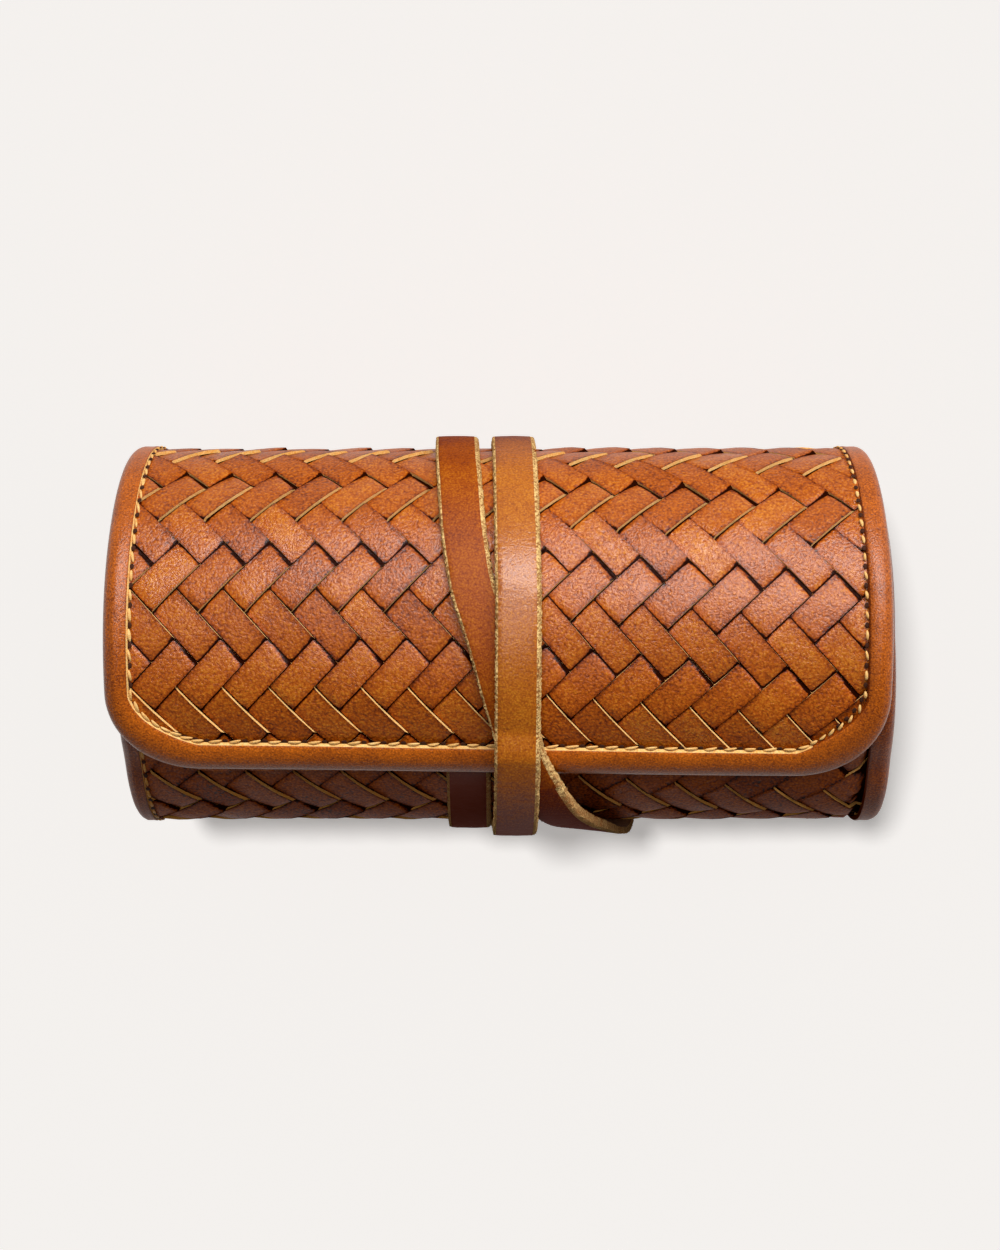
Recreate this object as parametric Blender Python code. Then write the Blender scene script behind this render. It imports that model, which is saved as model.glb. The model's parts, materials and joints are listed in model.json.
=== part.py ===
"""Leather grooming roll, rolled up and tied, in metres with +Z up.

The roll's axis runs along X. The flap's free edge faces the front, at -Y. Every sheet of the
panel is laid out flat, as a width along X and a winding angle, and is then wound on one spiral
outline. The winding angle starts at the flap's free edge and grows over the top, down the
back, under the roll and up its front, then once more inside. A roll angle is measured from the
top, positive to the front; the bottom is at 180 and the back at 270.
"""

import math

import bmesh
import bpy
import numpy as np

# Clearances
GAP = 0.0003

# Rolled panel
PANEL_WIDTH = 0.2095
ROLL_RADIUS = 0.0542
RESTING_FLAT = 0.036
SKEW_PER_TURN = 0.0033
FLAP_CORNER_RADIUS = 0.025
WEAVE_THICKNESS = 0.0028
LINING_THICKNESS = 0.001

# Edge binding and its thread
BINDING_WIDTH = 0.008
BINDING_LEATHER = 0.001
BINDING_ROUND = 0.0008
THREAD_DIAMETER = 0.0008
THREAD_WAVE = 0.0002
STITCH_PITCH = 0.0053
STITCH_INSET = 0.0014

# Tool pockets inside
POCKET_DEPTH = 0.115
POCKET_LEATHER = 0.0012
COVER_CLEARANCE = 0.0038
TAPE_WIDTH = 0.006
TAPE_THICKNESS = 0.0004

# Strap
STRAP_WIDTH = 0.011
STRAP_THICKNESS = 0.003
ANCHOR_SEAM_LENGTH = 0.009
ANCHOR_SEAM_INSET = 0.0016
ANCHOR_THREAD = 0.0005

# Winding angles in degrees
FLAP_HINGE_WINDING = 145.0
FLAP_FOLD_WINDING = 75.0
CORE_START_WINDING = 400.0
CORE_END_WINDING = 585.0
POCKET_START_WINDING = 165.0
POCKET_END_WINDING = 395.0
BODY_SPLIT_WINDING = 255.0
BODY_THREAD_END_WINDING = 366.0
WINDING_STEP = 6.0

# Roll angles in degrees
FLAP_EDGE_ANGLE = 45.0
STRAP_START_ANGLE = 20.0
STRAP_OPENING_ANGLE = 150.0
TAIL_HINGE_ANGLE = 60.0
TAIL_END_ANGLE = 110.0
STRAP_STEP = 5.0

# How far the outline sinks below the roll's radius at each winding angle, in layer steps
SINK_SHARES = (
    (0.0, 0.0),
    (225.0, 0.0),
    (255.0, -0.09),
    (285.0, -0.15),
    (303.0, -0.10),
    (315.0, 0.0),
    (330.0, 0.32),
    (344.0, 0.70),
    (353.0, 1.0),
    (600.0, 1.0),
)
SMOOTHING_WINDING = 5.0

# Where each strand's middle runs along X at each roll angle, in strap widths
MAIN_STRAND_SHARES = (
    (-100.0, 0.32),
    (-60.0, 0.38),
    (-10.0, 0.45),
    (45.0, 0.42),
    (95.0, 0.32),
    (150.0, 0.38),
    (180.0, 0.41),
    (194.0, 0.41),
)
LEFT_STRAND_SHARES = (
    (-100.0, -1.14),
    (-60.0, -1.03),
    (-30.0, -0.86),
    (-13.0, -0.65),
    (0.0, -0.28),
    (15.0, 0.07),
    (36.0, 0.60),
    (43.0, 0.88),
    (51.0, 1.20),
    (60.0, 1.55),
    (69.0, 1.98),
    (78.0, 2.38),
    (92.0, 2.82),
    (110.0, 3.15),
)
START_STRAND_SHARES = (
    (20.0, -0.79),
    (100.0, -0.79),
    (150.0, -0.93),
    (180.0, -0.955),
    (194.0, -0.955),
)

# Roll angles in degrees where a strand climbs over something and comes down again
EDGE_CROSSING = (24.0, 33.0, 52.0, 78.0)
FRONT_CROSSING = (-27.0, -12.0, 63.0, 79.0)
BACK_CROSSING = (201.0, 209.0, 245.0, 257.0)
BACK_CROSSING_RUN = (198.0, 258.0)

# Sizes worked out from those above
STACK = WEAVE_THICKNESS + GAP + LINING_THICKNESS
LAYER_STEP = STACK + GAP + BINDING_LEATHER + GAP + STRAP_THICKNESS + GAP
FLAT_DEPTH = math.sqrt(ROLL_RADIUS**2 - (RESTING_FLAT / 2) ** 2)
AXIS_HEIGHT = FLAT_DEPTH + GAP + STRAP_THICKNESS
STRAND_LIFT = STRAP_THICKNESS + GAP
EDGE_LIFT = GAP + BINDING_LEATHER + GAP + THREAD_DIAMETER + THREAD_WAVE
BOTTOM_ANGLE = 180.0
FULL_TURN = 360.0

# The pieces that turn with each part of the flap
FLAP_REAR_PIECES = (
    "woven_flap_rear",
    "lining_flap_rear",
    "binding_flap_rear_left",
    "binding_flap_rear_right",
    "thread_flap_rear_left",
    "thread_flap_rear_right",
    "strap_main_rear",
    "strap_left_rear",
)
FLAP_FRONT_PIECES = (
    "woven_flap_front",
    "lining_flap_front",
    "binding_flap_front",
    "thread_flap_front",
    "strap_main_front",
    "strap_left_front",
)

# Colours as linear red, green and blue
COGNAC = (0.42, 0.13, 0.025)
TAN_EDGE = (0.36, 0.10, 0.02)
SUEDE = (0.30, 0.17, 0.08)
GOLD_THREAD = (0.72, 0.40, 0.09)


def share_between(value, start, end):
    """Returns 0 before start, 1 after end and a smooth share between them."""
    share = min(max((value - start) / (end - start), 0.0), 1.0)
    return share * share * (3.0 - 2.0 * share)


def sink_share(winding):
    """Returns how many layer steps the outline lies below the roll's radius."""
    angles, shares = zip(*SINK_SHARES)
    window = np.linspace(winding - SMOOTHING_WINDING, winding + SMOOTHING_WINDING, 9)
    return float(np.mean(np.interp(window, angles, shares)))


def outline_radius(winding):
    """Returns the outline's distance from the roll's axis, flattened where it rests."""
    share = sink_share(winding)
    radius = ROLL_RADIUS - LAYER_STEP * share
    downward = -math.cos(math.radians(FLAP_EDGE_ANGLE - winding))
    if downward > 0.5:
        radius = min(radius, (FLAT_DEPTH - LAYER_STEP * max(share, 0.0)) / downward)
    return radius


def outline_point(winding):
    """Returns the outline's place in the YZ plane."""
    angle = math.radians(FLAP_EDGE_ANGLE - winding)
    radius = outline_radius(winding)
    return np.array((-radius * math.sin(angle), AXIS_HEIGHT + radius * math.cos(angle)))


def wound(across, winding, height):
    """Returns the place of a point on the wound panel, height above its woven face."""
    here = outline_point(winding)
    run = outline_point(winding + SMOOTHING_WINDING) - outline_point(winding - SMOOTHING_WINDING)
    run /= np.linalg.norm(run)
    y, z = here + height * np.array((-run[1], run[0]))
    return (across + SKEW_PER_TURN * winding / FULL_TURN, y, z)


def on_roll(across, angle, radius):
    """Returns the place of a point given by its roll angle and its distance from the axis."""
    turn = math.radians(angle)
    return (across, -radius * math.sin(turn), AXIS_HEIGHT + radius * math.cos(turn))


def leather_finish(name, colour, roughness):
    """Returns a plain material with this colour and roughness."""
    finish = bpy.data.materials.new(name)
    finish.use_nodes = True
    shader = finish.node_tree.nodes["Principled BSDF"]
    shader.inputs["Base Color"].default_value = (*colour, 1.0)
    shader.inputs["Roughness"].default_value = roughness
    shader.inputs["Metallic"].default_value = 0.0
    return finish


def add_swept(name, rings, colour, roughness, closed=False):
    """Adds the solid that joins each ring of points to the next."""
    mesh = bpy.data.meshes.new(name)
    shape = bmesh.new()
    corners = [[shape.verts.new(point) for point in ring] for ring in rings]
    pairs = list(zip(corners, corners[1:]))
    if closed:
        pairs.append((corners[-1], corners[0]))
    else:
        shape.faces.new(corners[0])
        shape.faces.new(corners[-1])
    for ring, following in pairs:
        for i in range(len(ring)):
            j = (i + 1) % len(ring)
            shape.faces.new((ring[i], ring[j], following[j], following[i]))
    bmesh.ops.recalc_face_normals(shape, faces=shape.faces)
    shape.to_mesh(mesh)
    shape.free()
    mesh.shade_smooth()
    mesh.set_sharp_from_angle(angle=math.radians(35.0))
    solid = bpy.data.objects.new(name, mesh)
    bpy.context.scene.collection.objects.link(solid)
    mesh.materials.append(leather_finish(name, colour, roughness))
    return solid


def steps(start, end, size):
    """Returns evenly spaced values from start to end, about size apart."""
    count = max(1, round(abs(end - start) / size))
    return np.linspace(start, end, count + 1)


def winding_gap():
    """Returns the winding angle whose arc is one clearance."""
    return math.degrees(GAP / ROLL_RADIUS)


def winding_of(distance):
    """Returns the winding angle at this distance from the flap's free edge."""
    return math.degrees(distance / ROLL_RADIUS)


def distance_of(winding):
    """Returns the distance from the flap's free edge at this winding angle on the flap."""
    return math.radians(winding) * ROLL_RADIUS


def sheet_ring(left, right, winding, top, bottom):
    """Returns the four corners of a sheet's cross-section."""
    return (
        wound(left, winding, top),
        wound(right, winding, top),
        wound(right, winding, bottom),
        wound(left, winding, bottom),
    )


def add_sheet(name, start, end, top, thickness, colour, roughness, left=None, right=None):
    """Adds a sheet of the panel between two winding angles, by default as wide as the panel."""
    edge = PANEL_WIDTH / 2 - BINDING_LEATHER - GAP
    left = -edge if left is None else left
    right = edge if right is None else right
    rings = [
        sheet_ring(left, right, winding, top, top - thickness)
        for winding in steps(start, end, WINDING_STEP)
    ]
    return add_swept(name, rings, colour, roughness)


def add_flap_sheet(name, top, thickness, colour, roughness):
    """Adds a sheet of the flap's front, whose two free corners are rounded."""
    inset = BINDING_LEATHER + GAP
    fold = distance_of(FLAP_FOLD_WINDING - winding_gap() / 2)
    round_share = np.sin(np.linspace(0.0, math.pi / 2, 7)) ** 2
    corner = [inset + (FLAP_CORNER_RADIUS - inset) * share for share in round_share]
    distances = corner + list(steps(FLAP_CORNER_RADIUS, fold, math.radians(WINDING_STEP) * ROLL_RADIUS))[1:]
    rings = []
    for distance in distances:
        half = PANEL_WIDTH / 2 - inset - inner_corner_loss(distance, inset)
        rings.append(sheet_ring(-half, half, winding_of(distance), top, top - thickness))
    return add_swept(name, rings, colour, roughness)


def inner_corner_loss(distance, inset):
    """Returns the side's rounding on an outline that lies inset inside the flap's outline."""
    radius = FLAP_CORNER_RADIUS - inset
    rise = min(max(FLAP_CORNER_RADIUS - distance, 0.0), radius)
    return radius - math.sqrt(radius**2 - rise**2)


def binding_profile():
    """Returns the folded binding's section: how far in from the panel's edge, and how high."""
    outer = GAP + BINDING_LEATHER
    inner = -STACK - GAP
    return (
        (BINDING_WIDTH, GAP),
        (BINDING_WIDTH, outer),
        (BINDING_ROUND, outer),
        (0.0, outer - BINDING_ROUND),
        (0.0, inner - BINDING_LEATHER + BINDING_ROUND),
        (BINDING_ROUND, inner - BINDING_LEATHER),
        (BINDING_WIDTH, inner - BINDING_LEATHER),
        (BINDING_WIDTH, inner),
        (BINDING_LEATHER, inner),
        (BINDING_LEATHER, GAP),
    )


def add_side_binding(name, side, start, end):
    """Adds the binding along one side of the panel; side is -1 on the left and 1 on the right."""
    rings = [
        [wound(side * (PANEL_WIDTH / 2 - inward), winding, height) for inward, height in binding_profile()]
        for winding in steps(start, end, WINDING_STEP)
    ]
    return add_swept(name, rings, TAN_EDGE, 0.45)


def flap_edge_path(spacing):
    """Returns places along the flap front's edge, each with the direction into the flap."""
    fold = distance_of(FLAP_FOLD_WINDING - winding_gap() / 2)
    half = PANEL_WIDTH / 2
    side = [(-half, distance, 1.0, 0.0) for distance in steps(fold, FLAP_CORNER_RADIUS, spacing)]
    arc = []
    for turn in steps(0.0, math.pi / 2, spacing / FLAP_CORNER_RADIUS)[1:-1]:
        across = -half + FLAP_CORNER_RADIUS * (1.0 - math.cos(turn))
        distance = FLAP_CORNER_RADIUS * (1.0 - math.sin(turn))
        arc.append((across, distance, math.cos(turn), math.sin(turn)))
    straight = half - FLAP_CORNER_RADIUS
    front = [(across, 0.0, 0.0, 1.0) for across in steps(-straight, straight, spacing)]
    left = side + arc
    right = [(-across, distance, -inward, onward) for across, distance, inward, onward in reversed(left)]
    return left + front + right


def add_flap_binding():
    """Adds the binding that runs down both sides and round the free edge of the flap."""
    rings = [
        [
            wound(across + inward * inset, winding_of(distance + onward * inset), height)
            for inset, height in binding_profile()
        ]
        for across, distance, inward, onward in flap_edge_path(FLAP_CORNER_RADIUS / 4)
    ]
    return add_swept("binding_flap_front", rings, TAN_EDGE, 0.45)


def add_thread(name, places, diameter=THREAD_DIAMETER, closed=False):
    """Adds one thread along places, each with its direction along and across the seam."""
    half = diameter / 2
    rings = [
        [
            point_at(0.0, half),
            point_at(half, 0.0),
            point_at(0.0, -half),
            point_at(-half, 0.0),
        ]
        for point_at in places
    ]
    return add_swept(name, rings, GOLD_THREAD, 0.5, closed=closed)


def thread_height(index, diameter=THREAD_DIAMETER):
    """Returns the middle height of a thread, which dips at every third place, between stitches."""
    seat = GAP + BINDING_LEATHER + GAP + diameter / 2
    return seat if index % 3 == 0 else seat + THREAD_WAVE


def side_thread_place(side, winding, height):
    """Returns a function that gives a thread's corners beside one place of a side seam."""
    across = side * (PANEL_WIDTH / 2 - BINDING_WIDTH + STITCH_INSET)
    return lambda aside, above: wound(across + aside, winding, height + above)


def add_side_thread(name, side, start, end):
    """Adds the thread that sews one side's binding, dipping between stitches."""
    spacing = math.degrees(STITCH_PITCH / ROLL_RADIUS) / 3
    windings = steps(start, end, spacing)
    places = [side_thread_place(side, winding, thread_height(i)) for i, winding in enumerate(windings)]
    return add_thread(name, places)


def flap_thread_place(across, distance, inward, onward, height):
    """Returns a function that gives a thread's corners beside one place of the flap's seam."""
    inset = BINDING_WIDTH - STITCH_INSET
    return lambda aside, above: wound(
        across + inward * (inset + aside),
        winding_of(distance + onward * (inset + aside)),
        height + above,
    )


def add_flap_thread():
    """Adds the thread that sews the binding round the flap's front."""
    places = [
        flap_thread_place(*place, thread_height(i))
        for i, place in enumerate(flap_edge_path(STITCH_PITCH / 3))
    ]
    return add_thread("thread_flap_front", places)


def add_core_end_binding():
    """Adds the binding across the panel's inner end, between the two side bindings."""
    half = PANEL_WIDTH / 2 - BINDING_WIDTH - GAP
    end = CORE_END_WINDING - winding_gap()
    radius = outline_radius(CORE_END_WINDING)
    rings = []
    for across in (-half, half):
        rings.append(
            [
                wound(across, end + math.degrees((BINDING_LEATHER + GAP - inward) / radius), height)
                for inward, height in binding_profile()
            ]
        )
    return add_swept("binding_core_end", rings, TAN_EDGE, 0.45)


def body_radius(angle):
    """Returns the radius of the roll's body under its flap, at a roll angle from 0 to 180."""
    return outline_radius(FLAP_EDGE_ANGLE - angle + FULL_TURN)


def climbed(angle, crossing):
    """Returns the share of a climb that a strand has made at a roll angle."""
    climb, up, down, landed = crossing
    return share_between(angle, climb, up) - share_between(angle, down, landed)


def strap_seat(angle):
    """Returns the radius that a tight strand lies on, over the flap, the front and the back."""
    if FLAP_EDGE_ANGLE < angle < BOTTOM_ANGLE:
        radius = max(ROLL_RADIUS, body_radius(angle))
    else:
        radius = ROLL_RADIUS
    radius += EDGE_LIFT * climbed(angle, EDGE_CROSSING)
    downward = -math.cos(math.radians(angle))
    if downward > 0.5:
        radius = min(radius, FLAT_DEPTH / downward)
        return radius + GAP / downward if radius * downward > FLAT_DEPTH - GAP else radius + GAP
    return radius + GAP


def strap_top(angle, seat, lift):
    """Returns the radius of a strand's outer face, level with the table under the roll."""
    top = seat + STRAP_THICKNESS
    downward = -math.cos(math.radians(angle))
    if downward > 0.5 and lift == 0.0:
        return min(top, AXIS_HEIGHT / downward)
    return top


def strand_middle(angle, shares):
    """Returns a strand's middle along X at a roll angle, smoothed between its listed places."""
    angles, places = zip(*shares)
    window = np.linspace(angle - SMOOTHING_WINDING, angle + SMOOTHING_WINDING, 7)
    return STRAP_WIDTH * float(np.mean(np.interp(window, angles, places)))


def strand_half(middle, angle):
    """Returns half the strap's width along X, wider where the strand slants."""
    rise = middle(angle + 1.0) - middle(angle - 1.0)
    run = math.radians(2.0) * ROLL_RADIUS
    return STRAP_WIDTH / 2 * math.hypot(rise, run) / run


def add_strand(name, start, end, middle, lift=None, seat=strap_seat):
    """Adds a length of strap between two roll angles, along the given middle and lift."""
    gap = winding_gap() / 2
    rings = []
    for angle in steps(start + gap, end - gap, STRAP_STEP):
        raised = lift(angle) if lift else 0.0
        inner = seat(angle) + raised
        outer = strap_top(angle, inner, raised)
        half = strand_half(middle, angle)
        left = middle(angle) - half
        right = middle(angle) + half
        rings.append(
            (
                on_roll(left, angle, inner),
                on_roll(right, angle, inner),
                on_roll(right, angle, outer),
                on_roll(left, angle, outer),
            )
        )
    return add_swept(name, rings, COGNAC, 0.5)


def main_middle(angle):
    """Returns the middle of the main strand over the flap and down the front."""
    return strand_middle(angle, MAIN_STRAND_SHARES)


def left_middle(angle):
    """Returns the middle of the left strand and of the tail that it ends in."""
    return strand_middle(angle, LEFT_STRAND_SHARES)


def behind(angle, from_shares, to_shares):
    """Returns the middle of a strand that crosses from one place below to another at the back."""
    crossed = share_between(angle, *BACK_CROSSING_RUN)
    below = strand_middle(min(angle, BACK_CROSSING_RUN[0]), from_shares)
    above = strand_middle(FLAP_EDGE_ANGLE - FLAP_HINGE_WINDING, to_shares)
    return below + (above - below) * crossed


def start_middle(angle):
    """Returns the middle of the strap's first turn, which becomes the main strand behind."""
    return behind(angle, START_STRAND_SHARES, MAIN_STRAND_SHARES)


def under_middle(angle):
    """Returns the middle of the strap's second turn, which becomes the left strand behind."""
    return behind(angle, MAIN_STRAND_SHARES, LEFT_STRAND_SHARES)


def start_seat(angle):
    """Returns the radius that the strap's first turn lies on, from under the flap."""
    tucked = body_radius(angle) + GAP if angle < BOTTOM_ANGLE else strap_seat(angle)
    return tucked if angle < 90.0 else strap_seat(angle)


def front_lift(angle):
    """Returns how far the main strand is lifted where it lies over the left strand."""
    return STRAND_LIFT * climbed(angle, FRONT_CROSSING)


def back_lift(angle):
    """Returns how far the strap's second turn is lifted where it lies over the first."""
    return STRAND_LIFT * climbed(angle, BACK_CROSSING)


def add_straps():
    """Adds the strap's lengths, each split where the flap or a strand turns."""
    hinge = FLAP_EDGE_ANGLE - FLAP_HINGE_WINDING
    fold = FLAP_EDGE_ANGLE - FLAP_FOLD_WINDING
    add_strand("strap_start", STRAP_START_ANGLE, hinge + FULL_TURN, start_middle, seat=start_seat)
    add_strand("strap_under_turn", STRAP_OPENING_ANGLE, hinge + FULL_TURN, under_middle, back_lift)
    add_strand("strap_main_rear", hinge, fold, main_middle)
    add_strand("strap_left_rear", hinge, fold, left_middle)
    add_strand("strap_main_front", fold, FLAP_EDGE_ANGLE, main_middle, front_lift)
    add_strand("strap_left_front", fold, TAIL_HINGE_ANGLE, left_middle)
    add_strand("strap_main_drop", FLAP_EDGE_ANGLE, STRAP_OPENING_ANGLE, main_middle, front_lift)
    add_strand("strap_tail", TAIL_HINGE_ANGLE, TAIL_END_ANGLE, left_middle)


def add_anchor_stitching():
    """Adds the thread loop that sews the strap's first end to the body, under the flap."""
    half = STRAP_WIDTH / 2 - ANCHOR_SEAM_INSET
    middle = start_middle(STRAP_START_ANGLE)
    centre = STRAP_START_ANGLE + math.degrees((ANCHOR_SEAM_INSET + ANCHOR_SEAM_LENGTH / 2) / ROLL_RADIUS)
    square = ((-1, -1), (1, -1), (1, 1), (-1, 1))
    places = []
    for (x0, l0), (x1, l1) in zip(square, square[1:] + square[:1]):
        for share in (0.0, 0.25, 0.5, 0.75):
            x = x0 + (x1 - x0) * share
            along = l0 + (l1 - l0) * share
            outward = (x if abs(x) == 1 else 0, along if abs(along) == 1 else 0)
            place = (middle + x * half, centre + math.degrees(along * ANCHOR_SEAM_LENGTH / 2 / ROLL_RADIUS))
            places.append(anchor_place(*place, outward, dips=share in (0.25, 0.75)))
    return add_thread("anchor_stitching", places, diameter=ANCHOR_THREAD, closed=True)


def anchor_place(across, angle, outward, dips):
    """Returns a function that gives the anchor thread's corners beside one place of its loop."""
    radius = start_seat(angle) + STRAP_THICKNESS + GAP + ANCHOR_THREAD / 2
    if not dips:
        radius += THREAD_WAVE
    length = math.hypot(*outward)
    sideways = outward[0] / length
    forward = math.degrees(outward[1] / length / ROLL_RADIUS)
    return lambda aside, above: on_roll(across + aside * sideways, angle + aside * forward, radius + above)


def add_panel():
    """Adds the woven leather and its suede lining, each split where the flap turns."""
    gap = winding_gap() / 2
    lining_top = -WEAVE_THICKNESS - GAP
    core_end = CORE_END_WINDING - 2 * gap
    spans = (
        ("flap_rear", FLAP_FOLD_WINDING, FLAP_HINGE_WINDING),
        ("body_back", FLAP_HINGE_WINDING, BODY_SPLIT_WINDING),
        ("body_front", BODY_SPLIT_WINDING, CORE_START_WINDING),
        ("body_core", CORE_START_WINDING, core_end),
    )
    add_flap_sheet("woven_flap_front", 0.0, WEAVE_THICKNESS, COGNAC, 0.45)
    add_flap_sheet("lining_flap_front", lining_top, LINING_THICKNESS, SUEDE, 0.9)
    for place, start, end in spans:
        add_sheet(f"woven_{place}", start + gap, end - gap, 0.0, WEAVE_THICKNESS, COGNAC, 0.45)
        add_sheet(f"lining_{place}", start + gap, end - gap, lining_top, LINING_THICKNESS, SUEDE, 0.9)


def add_pockets():
    """Adds the pocket panel, the tape on its mouth and the cover flap over the tools' tips."""
    top = -STACK - GAP
    edge = PANEL_WIDTH / 2 - BINDING_WIDTH - GAP
    mouth = POCKET_DEPTH - edge
    span = (POCKET_START_WINDING, POCKET_END_WINDING)
    add_sheet("tool_pocket_panel", *span, top, POCKET_LEATHER, SUEDE, 0.8, left=-edge, right=mouth)
    add_sheet(
        "pocket_mouth_tape",
        *span,
        top - POCKET_LEATHER - GAP,
        TAPE_THICKNESS,
        TAN_EDGE,
        0.5,
        left=mouth - TAPE_WIDTH,
        right=mouth,
    )
    cover = mouth + COVER_CLEARANCE
    add_sheet("tool_cover_flap", *span, top, POCKET_LEATHER, SUEDE, 0.8, left=cover, right=edge)


def add_bindings():
    """Adds the edge bindings and the threads that sew them, each split where the flap turns."""
    gap = winding_gap() / 2
    rear = (FLAP_FOLD_WINDING + gap, FLAP_HINGE_WINDING - gap)
    body = (FLAP_HINGE_WINDING + gap, CORE_END_WINDING)
    sewn = (FLAP_HINGE_WINDING + gap, BODY_THREAD_END_WINDING)
    add_flap_binding()
    add_flap_thread()
    for word, side in (("left", -1), ("right", 1)):
        add_side_binding(f"binding_flap_rear_{word}", side, *rear)
        add_side_thread(f"thread_flap_rear_{word}", side, *rear)
        add_side_binding(f"binding_body_{word}", side, *body)
        add_side_thread(f"thread_body_{word}", side, *sewn)
    add_core_end_binding()


def hang_on_axis(name, angle, radius, pieces):
    """Adds an empty on a joint's axis and hangs the pieces that turn about it there."""
    axis = bpy.data.objects.new(name, None)
    axis.location = on_roll(0.0, angle, radius)
    bpy.context.scene.collection.objects.link(axis)
    for piece in pieces:
        solid = bpy.data.objects[piece]
        solid.parent = axis
        solid.location = -axis.location


def hang_moving_pieces():
    """Hangs each moving piece on its joint's axis, on the outer face of the strap there."""
    hinge = FLAP_EDGE_ANGLE - FLAP_HINGE_WINDING
    fold = FLAP_EDGE_ANGLE - FLAP_FOLD_WINDING
    on_strap = ROLL_RADIUS + GAP + STRAP_THICKNESS
    edge = strap_seat(FLAP_EDGE_ANGLE) + STRAND_LIFT + STRAP_THICKNESS
    tail = strap_seat(TAIL_HINGE_ANGLE) + STRAP_THICKNESS
    hang_on_axis("flap_hinge_axis", hinge, on_strap, FLAP_REAR_PIECES)
    hang_on_axis("flap_fold_axis", fold, on_strap, FLAP_FRONT_PIECES)
    hang_on_axis("strap_drop_axis", FLAP_EDGE_ANGLE, edge, ("strap_main_drop",))
    hang_on_axis("strap_tail_axis", TAIL_HINGE_ANGLE, tail, ("strap_tail",))


def main():
    for thing in list(bpy.data.objects):
        bpy.data.objects.remove(thing)
    add_panel()
    add_pockets()
    add_bindings()
    add_straps()
    add_anchor_stitching()
    hang_moving_pieces()


main()
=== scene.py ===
"""Looks of a woven leather grooming roll: every piece is cut and sewn flat, then wound on the roll."""
import json
import logging
import math
from dataclasses import dataclass, field
from enum import Enum
from typing import Callable, Optional, Sequence

import bpy
import numpy as np
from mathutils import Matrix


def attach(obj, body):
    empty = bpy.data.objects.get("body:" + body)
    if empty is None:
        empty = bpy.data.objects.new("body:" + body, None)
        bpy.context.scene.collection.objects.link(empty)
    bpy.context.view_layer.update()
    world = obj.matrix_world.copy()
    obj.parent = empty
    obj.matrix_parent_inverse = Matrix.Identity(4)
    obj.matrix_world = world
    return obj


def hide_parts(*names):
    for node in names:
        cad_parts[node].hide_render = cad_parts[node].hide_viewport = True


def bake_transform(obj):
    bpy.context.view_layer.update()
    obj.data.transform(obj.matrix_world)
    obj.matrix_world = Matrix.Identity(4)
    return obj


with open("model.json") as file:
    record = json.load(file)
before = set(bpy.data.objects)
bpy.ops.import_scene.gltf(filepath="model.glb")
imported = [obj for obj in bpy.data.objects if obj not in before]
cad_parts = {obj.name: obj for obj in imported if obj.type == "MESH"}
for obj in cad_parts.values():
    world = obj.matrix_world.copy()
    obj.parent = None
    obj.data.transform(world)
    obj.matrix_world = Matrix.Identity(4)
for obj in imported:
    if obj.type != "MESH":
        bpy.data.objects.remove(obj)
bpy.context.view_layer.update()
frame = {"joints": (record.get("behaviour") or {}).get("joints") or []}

LOG = logging.getLogger("grooming_roll")

MM = 0.001
FULL_TURN = 360.0
WELD = 1e-6
Array = np.ndarray
Material = bpy.types.Material
Piece = bpy.types.Object
Socket = bpy.types.NodeSocket
Tree = bpy.types.NodeTree


class Slot(Enum):
    """The record's material slots."""

    WEAVE = "woven_leather"
    BINDING = "binding_leather"
    STRAP = "strap_leather"
    LINING = "suede_lining"
    POCKET = "pocket_leather"
    THREAD = "golden_thread"


class Body(Enum):
    """The bodies that the pieces ride on."""

    ROLL = "roll"
    FLAP_REAR = "flap_rear"
    FLAP_FRONT = "flap_front"
    STRAP_DROP = "strap_drop"
    STRAP_TAIL = "strap_tail"


class Family(Enum):
    """The weave's two families of strips: the value is the sign of a strip's slope up to the right."""

    FALLING = -1
    RISING = 1


def linear(colour: str) -> tuple[float, float, float, float]:
    """Turns an sRGB hex colour into Blender's linear red, green, blue and alpha.

    Args:
        colour: The colour, such as "#B5651D".

    Returns:
        The linear colour with an alpha of 1.
    """
    parts = [int(colour[i : i + 2], 16) / 255 for i in (1, 3, 5)]
    values = [part / 12.92 if part <= 0.04045 else ((part + 0.055) / 1.055) ** 2.4 for part in parts]
    return (values[0], values[1], values[2], 1.0)


def smooth_share(value: Array, start: float, end: float) -> Array:
    """Gives 0 before start, 1 after end and a smooth share between them.

    Args:
        value: Where to read the share.
        start: Where the share starts to rise.
        end: Where the share is whole.

    Returns:
        The shares, as many as the values.
    """
    share = np.clip((np.asarray(value, float) - start) / (end - start), 0.0, 1.0)
    return share * share * (3.0 - 2.0 * share)


def add_node(
    tree: Tree, kind: str, settings: Optional[dict[str, object]] = None, output: int | str = 0,
    stops: Sequence[tuple[float, str]] = (), **inputs: object,
) -> Optional[Socket]:
    """Adds a node with its settings, values and links.

    Args:
        tree: The material's node tree.
        kind: The node's type after "ShaderNode", such as "Math".
        settings: The node's own properties.
        output: Which of its outputs is wanted, by name or place.
        stops: A colour ramp's places and hex colours.
        inputs: A value, or an output to link, for each input. A name is the input's with underscores
            for spaces, or in_0, in_1 and so on for its place.

    Returns:
        The output that is wanted, or nothing from a node that has none.
    """
    node = tree.nodes.new(f"ShaderNode{kind}")
    for name, value in (settings or {}).items():
        setattr(node, name, value)
    for _ in stops[2:]:
        node.color_ramp.elements.new(0.5)
    for stop, (place, colour) in zip(node.color_ramp.elements if stops else (), stops):
        stop.position = place
        stop.color = linear(colour)
    for name, value in inputs.items():
        key = int(name[3:]) if name.startswith("in_") else name.replace("_", " ")
        if isinstance(value, Socket):
            tree.links.new(value, node.inputs[key])
        else:
            node.inputs[key].default_value = value
    return node.outputs[output] if node.outputs else None


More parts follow.
